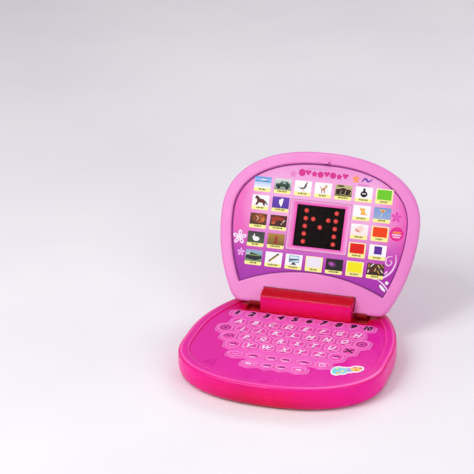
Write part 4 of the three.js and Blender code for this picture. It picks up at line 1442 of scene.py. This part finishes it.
RABBIT = ((58, 52, 66), (66, 92, 48), [
    (3, oval, (0.4, 0.2, 4.0, 2.6, 16), WHITE),
    (4, oval, (-2.6, 2.0, 1.8, 1.6, 14), WHITE),
    (5, oval, (-2.2, 4.4, 0.6, 1.7, 10, 0.2), WHITE),
])
CHESS_PIECE = ((176, 132, 56), (112, 92, 34), [
    (3, corners, (-3, -2.8, 3, -2.8, 1.4, 0.8, 2.0, 3.4, -2.0, 3.4, -1.4, 0.8), (150, 44, 28)),
    (4, oval, (0, 4.8, 1.7, 1.7, 14), (166, 60, 36)),
])
SQUARE = (WHITE, None, [(3, panel, (0.4, 2.4, 4.6, 4.6), (92, 36, 152))])
TRAIN = ((150, 180, 210), (110, 140, 84), [
    (3, corners, (-9.5, -1.6, -9.5, 3.6, -4, 5.6, 9.5, 2.6, 9.5, -1.0, 2, -3.4), (34, 36, 44)),
    (4, corners, (-9.5, 5.0, -4.6, 6.8, -4.6, 3.0, -9.5, 2.2), (176, 190, 196)),
    (4, panel, (0.6, 2.6, 6.6, 0.5, 0.3, 3), (130, 170, 80)),
])
UMBRELLA = (WHITE, None, [
    (3, rod, (-5.4, -2.6, 5.6, 7.0, 2.2), (26, 42, 30)),
    (4, rod, (-4.6, -2.8, 5.0, 5.4, 0.9), (232, 190, 60)),
])
MONITOR = (WHITE, None, [
    (3, panel, (0.2, 3.2, 6.2, 4.0, 0.5, 3), (110, 170, 196)),
    (4, panel, (0.2, 3.3, 5.3, 3.1), (214, 232, 240)),
    (5, corners, (-5.1, 0.6, 5.5, 2.4, 5.5, 3.8, -5.1, 3.4), (70, 96, 116)),
    (3, corners, (-3.4, -3.4, 3.8, -3.4, 1.2, -1.0, -0.8, -1.0), BLACK),
])
GLOW = (BLACK, None, [
    (3, oval, (-2.8, 2.4, 5.4, 3.4, 18, -0.3), (92, 30, 92)),
    (4, oval, (-3.4, 2.6, 3.0, 1.8, 16, -0.3), (176, 84, 170)),
])

# the pictures of each row, by column
PICTURES = [
    {0: SEASIDE, 1: TRUCK, 2: BIRD, 3: DOG, 4: herd(), 5: POT, 6: swatch(108, 202, 30)},
    {0: HORSE, 1: CONE_OF_ICE, 5: SCARF, 6: KITE},
    {0: MANE, 1: APE, 5: NOSE, 6: swatch(238, 62, 0)},
    {0: RABBIT, 1: CHESS_PIECE, 5: swatch(220, 12, 10), 6: SQUARE},
    {0: TRAIN, 1: UMBRELLA, 2: MONITOR, 3: swatch(236, 234, 244), 4: GLOW,
     5: swatch(242, 234, 10), 6: stripes()},
]


def picture_tile(card, row, column, top, bottom, shapes):
    card.at(TILE_COLUMNS[column], TILE_ROWS[row])
    card.draw(rectangle(*TILE_HALF, (0, 0), 1.3, 4), WHITE, 1, CREAM)
    card.draw(rectangle(*PICTURE_HALF, (0, PICTURE_Y)), top, 2, bottom)
    for layer, kind, measures, colour in shapes:
        card.draw(kind(*measures), colour, layer)
    # a row of short strokes stands for the word
    card.draw(rectangle(9.4, 1.75, (0, CAPTION_Y), 0.9, 4), CREAM, 2)
    beads = 5 + (row * 3 + column * 2) % 3
    for i, x in enumerate(centred(beads, 1.75)):
        tall = 0.8 if (i * 2 + column + row) % 3 else 1.1
        card.draw(rectangle(0.62, tall, (x, CAPTION_Y), 0.3, 3), CAPTION_BROWN, 3)


def picture_tiles():
    card = Print("picture_tiles", LID_SPACE, CARD_FACE)
    for row, pictures in enumerate(PICTURES):
        for column, picture in pictures.items():
            picture_tile(card, row, column, *picture)
    card.piece.finish("lid", "card_print")


def flower(card, x, y, size, colour, open_petals=False):
    petals = 5
    card.at(x, y)
    for i in range(petals):
        angle = math.tau * i / petals + 0.3
        centre = (size * 0.62 * math.cos(angle), size * 0.62 * math.sin(angle))
        card.draw(ellipse(centre, size * 0.42, size * 0.27, 14, angle), colour, 1 + i % 2)
        if open_petals:
            card.draw(ellipse(centre, size * 0.2, size * 0.12, 12, angle), (226, 104, 200), 3)
    card.draw(ellipse((0, 0), size * 0.2, size * 0.2, 12), colour, 4)


def disc(size):
    return ellipse((0, 0), size, size, 20)


def heart(size):
    right = [(0, -size), (size * 0.75, -size * 0.1), (size, size * 0.45), (size * 0.55, size * 0.9),
             (0, size * 0.45)]
    return rounded(right + [(-x, y) for x, y in right[-2:0:-1]], size * 0.25, 4)


def star(size):
    points = []
    for i in range(10):
        radius = size * (1.15 if i % 2 == 0 else 0.6)
        angle = math.pi / 2 + math.pi * i / 5
        points.append((radius * math.cos(angle), radius * math.sin(angle)))
    return rounded(points, size * 0.2, 3)


def ornaments():
    card = Print("card_ornaments", LID_SPACE, CARD_FACE)
    # a row of hearts, discs and stars where a title would be, and two small shapes beside it
    for i, shape in enumerate((disc, heart, star, disc, heart, disc, star, heart)):
        card.at(-27.4 + i * 7.4, SCREEN_Y + 60.8 + 0.8 * math.sin(i * 1.9))
        card.draw(shape(4.3 if i == 0 else 3.7), PINK, 1 + i % 2)
    card.at(-12, SCREEN_Y + 66.6)
    for i in range(7):
        card.draw(rectangle(1.2, 0.4, (i * 3.4 - 7, 0), 0.3, 3), (176, 150, 176), 1)
    flower(card, 37.2, SCREEN_Y + 59.4, 4.4, ORANGE)
    card.at(49, SCREEN_Y + 58.6)
    card.draw(stroke([(-5, -2), (-1, 2.4), (3, -0.6), (8, 2.6)], [0.8, 2.2, 2.0, 0.8]), VIOLET)
    card.draw(rectangle(6.4, 0.5, (-2, -5.2), 0.4, 3), (204, 90, 180), 1)
    flower(card, -37.7, SCREEN_Y + 58.1, 4.0, (226, 120, 190))
    flower(card, -92.6, SCREEN_Y - 21.3, 8.2, WHITE, open_petals=True)
    flower(card, -88.7, SCREEN_Y - 38.4, 4.6, (238, 178, 232))
    flower(card, 89.7, SCREEN_Y + 20.7, 6.2, (226, 70, 180))
    # a round badge
    card.at(92.4, SCREEN_Y + 1.6)
    card.draw(ellipse((0, 0), 8.2, 8.2, 36), (226, 36, 140), 1)
    card.draw(rectangle(4.6, 0.9, (0, 1.8), 0.7, 4), ORANGE, 2)
    card.draw(rectangle(5.4, 0.8, (0, -1.0), 0.6, 4), (250, 200, 230), 2)
    card.draw(rectangle(4.2, 0.7, (0, -3.6), 0.6, 4), (250, 200, 230), 2)
    # a scroll with leaves in the right-hand corner
    card.at(0, SCREEN_Y)
    card.draw(stroke([(94.5, -22), (95.5, -31), (92, -41), (85, -48), (77, -52), (70, -52)],
                     [0.6, 1.3, 1.9, 1.9, 1.3, 0.5]), LILAC)
    card.draw(stroke([(91, -24), (85, -26), (84, -33), (88, -35), (91, -31), (88, -29)],
                     [0.4, 1.0, 1.4, 1.2, 0.9, 0.5]), LILAC, 2)
    card.draw(stroke([(76, -52), (84, -57), (90, -64), (92, -72)], [0.5, 1.6, 1.2, 0.5]), LILAC, 2)
    card.draw(ellipse((88, -55), 2.0, 1.9, 14), WHITE, 3)
    card.draw(ellipse((83.4, -61.6), 5.2, 1.5, 16, -0.75), WHITE, 3)
    card.draw(ellipse((85.6, -43.4), 2.6, 0.9, 12, 0.9), LILAC, 3)
    card.draw(ellipse((91.6, -67.6), 2.3, 0.8, 12, -1.2), WHITE, 3)
    card.piece.finish("lid", "card_print")


def card_line():
    """The thin dark line printed round the edge of the card."""
    outer, inner = inset(card_outline(), 0.15), inset(card_outline(), 1.35)
    low, high = CARD_FACE - 0.02, CARD_FACE + 0.03
    line = band([(outer, low), (outer, high), (inner, high), (inner, low)])
    Piece("card_edge_line", LID_SPACE).add(line, INK, srgb(132, 38, 132)).finish("lid", "card_print")


picture_tiles()
ornaments()
card_line()


def deck_sticker():
    """A small blobby sticker beside the keys, from cyan to orange, with a white border."""
    card = Print("deck_sticker", BASE_SPACE, DECK)
    card.at(78.5, -40)
    lobes = [(-9.5, -4.5, 7.4, 10.5), (-3.5, -3, 7, 9), (3, 0.5, 6.6, 7), (9, 4, 7.2, 7.6), (12.5, 6, 5.2, 6)]
    for i, (x, y, half_x, half_y) in enumerate(lobes):
        card.draw(ellipse((x, y), half_x, half_y, 24), (252, 246, 252), 1 + i % 2)
    fills = [(120, 222, 230), (150, 214, 232), (196, 184, 232), (250, 206, 96),
             (252, 222, 110)]
    for i, ((x, y, half_x, half_y), fill) in enumerate(zip(lobes, fills)):
        card.draw(ellipse((x, y), half_x - 1.7, half_y - 2.6, 22), fill, 3 + i % 2)
    dots = [(-11, 0, (206, 238, 160)), (-8, -9, (250, 190, 110)), (-4, -4, (240, 236, 150)),
            (2, 0.5, (170, 160, 220)), (7.5, 7, (240, 120, 170)), (10, 1.5, (250, 160, 70)),
            (13.5, 7, (230, 130, 150))]
    for x, y, colour in dots:
        card.draw(ellipse((x, y), 1.9, 2.2, 14), colour, 5)
    card.piece.finish("base", "card_print")


deck_sticker()


# ---------------------------------------------------------------- battery door and inner pieces


def battery_door():
    low, high = local_box("battery_cover", BASE_SPACE)
    centre = ((low.x + high.x) / 2, (low.y + high.y) / 2)
    plan = rectangle((high.x - low.x) / 2, (high.y - low.y) / 2, centre, 1.4)
    plate = loft(plan, [(0.6, low.z), (0.15, low.z + 0.15), (0, low.z + 0.6), (0, high.z)])
    grips = [prism(rectangle(9, 0.6, (0, 22.6 + i * 3), 0.4, 3), 0, low.z + 0.7) for i in range(3)]
    arrow = prism([(-4, 16), (0, 12), (4, 16)], 0, low.z + 0.5)
    screw = sum(local_box("battery_cover_screw", BASE_SPACE), Vector()) / 2
    seat = prism(ellipse((screw.x, screw.y), 2.3, 2.3, 28), 0, 4)
    return cut(plate, [*grips, arrow, seat])


def door_screw():
    low, high = local_box("battery_cover_screw", BASE_SPACE)
    centre = ((low.x + high.x) / 2, (low.y + high.y) / 2)
    radius = (high.x - low.x) / 2
    head = lathe([(0, low.z + 0.1), (radius * 0.8, low.z), (radius, low.z + 0.4), (radius, high.z),
                  (0, high.z)], centre, 32)
    slots = [prism(rectangle(a, b, centre), low.z - 1, low.z + 0.8) for a, b in ((1.3, 0.3), (0.3, 1.3))]
    return cut(head, slots, overlapping=True)


# the door takes the cover plastic's lowest tone, the red of the painted shade at the cover's foot
Piece("battery_door_plate", BASE_SPACE).add(battery_door(), COVER_PINK).finish(
    "battery_door", "base_pink", ["battery_cover"])
Piece("battery_door_screw", BASE_SPACE).add(door_screw(), STEEL).finish(
    "battery_door", "steel", ["battery_cover_screw"])


def upright(shape, centre):
    """A shape turned about the vertical axis is laid along x, about the given (y, z)."""
    points, faces = shape
    return [(z, centre[0] + x, centre[1] + y) for x, y, z in points], faces


for number in (1, 2, 3):
    node = f"battery_{number}"
    low, high = local_box(node, BASE_SPACE)
    centre = ((low.y + high.y) / 2, (low.z + high.z) / 2)
    radius = (high.y - low.y) / 2
    forward = number != 2
    start, end = (low.x + 1, high.x - 1.5) if forward else (low.x + 1.5, high.x - 1)
    can = [(0, start), (radius - 0.5, start), (radius, start + 0.5), (radius, end - 0.5),
           (radius - 0.5, end), (0, end)]
    nub_from, nub_to = (end - 0.5, high.x) if forward else (low.x, start + 0.5)
    cell_piece = Piece(node + "_cell", BASE_SPACE)
    cell_piece.add(upright(lathe(can, (0, 0), 36), centre), SLEEVE)
    nub = lathe([(0, nub_from), (2.6, nub_from), (2.6, nub_to), (0, nub_to)], (0, 0), 24)
    cell_piece.add(upright(nub, centre), STEEL)
    cell_piece.finish("base", "cell_sleeve", [node])

CAD_LOOKS = {
    "key_membrane": SILICONE, "main_board": BOARD, "speaker": CONE, "battery_contact_left": STEEL,
    "battery_contact_right": STEEL, "hinge_cable": WIRE, "screen_window": SMOKED, "lid_latch": ORCHID,
    "hinge_pin_left": STEEL, "hinge_pin_right": STEEL,
}
for node, material in CAD_LOOKS.items():
    mesh = frame["nodes"][node].data
    mesh.materials.clear()
    mesh.materials.append(material)


# ---------------------------------------------------------------- floor, light and camera


def floor():
    nodes = Nodes("studio_floor", Roughness=0.75)
    tone = nodes.ramp(nodes.noise(3, 3), [(0.3, srgb(238, 234, 240)), (0.7, srgb(246, 243, 247))])
    nodes.colour(tone)
    half = 2500
    ground = [(x, y, 0) for x, y in rectangle(half, half)]
    piece = as_object((ground, [[0, 1, 2, 3]]), "floor")
    piece.data.materials.append(nodes.material)


def softbox(name, place, target, width, height, power):
    data = bpy.data.lights.new(name, "AREA")
    data.shape = "RECTANGLE"
    data.size, data.size_y = width, height
    data.energy = power
    lamp = bpy.data.objects.new(name, data)
    lamp.location = place
    lamp.rotation_euler = (Vector(target) - Vector(place)).to_track_quat("-Z", "Y").to_euler()
    bpy.context.scene.collection.objects.link(lamp)


def studio():
    world = bpy.data.worlds.new("studio")
    world.use_nodes = True
    sky = world.node_tree.nodes["Background"]
    sky.inputs["Color"].default_value = (0.97, 0.96, 1.0, 1)
    sky.inputs["Strength"].default_value = 0.44
    bpy.context.scene.world = world
    middle = (0, 0.02, 0.06)
    softbox("key_light", (-0.75, -0.9, 1.15), middle, 0.9, 0.9, 12)
    softbox("fill_light", (1.1, -0.7, 0.8), middle, 0.8, 0.8, 4.7)
    softbox("rim_light", (-0.35, -0.5, 1.3), middle, 0.16, 0.16, 1.6)
    softbox("rear_light", (0.2, 1.1, 1.2), middle, 1.2, 0.5, 5.4)


# The camera looks from the right and above; its aim is off the toy, as the picture's framing is.
AZIMUTH = math.radians(18.93)
ELEVATION = math.radians(25.70)
ROLL = math.radians(-2)
DISTANCE = 2.3617
LENS_MM = 156.77
SENSOR_MM = 36
TOY_CENTRE = Vector((0, 67.2 + PLAN_Y, 35.3)) * MM
ACROSS, DOWN = 78.23 * MM, 83.44 * MM


def camera():
    back = Vector((math.sin(AZIMUTH) * math.cos(ELEVATION),
                   -math.cos(AZIMUTH) * math.cos(ELEVATION), math.sin(ELEVATION)))
    level = Vector((math.cos(AZIMUTH), math.sin(AZIMUTH), 0))
    right = level * math.cos(ROLL) + back.cross(level) * math.sin(ROLL)
    up = back.cross(right)
    data = bpy.data.cameras.new("camera")
    data.lens = LENS_MM
    data.sensor_width = SENSOR_MM
    data.clip_start = 0.05
    eye = bpy.data.objects.new("camera", data)
    place = TOY_CENTRE + back * DISTANCE - right * ACROSS + up * DOWN
    turn = Matrix((right, up, back)).transposed().to_4x4()
    eye.matrix_world = Matrix.Translation(place) @ turn
    bpy.context.scene.collection.objects.link(eye)
    bpy.context.scene.camera = eye


floor()
studio()
camera()
bpy.context.scene.view_settings.view_transform = "Standard"
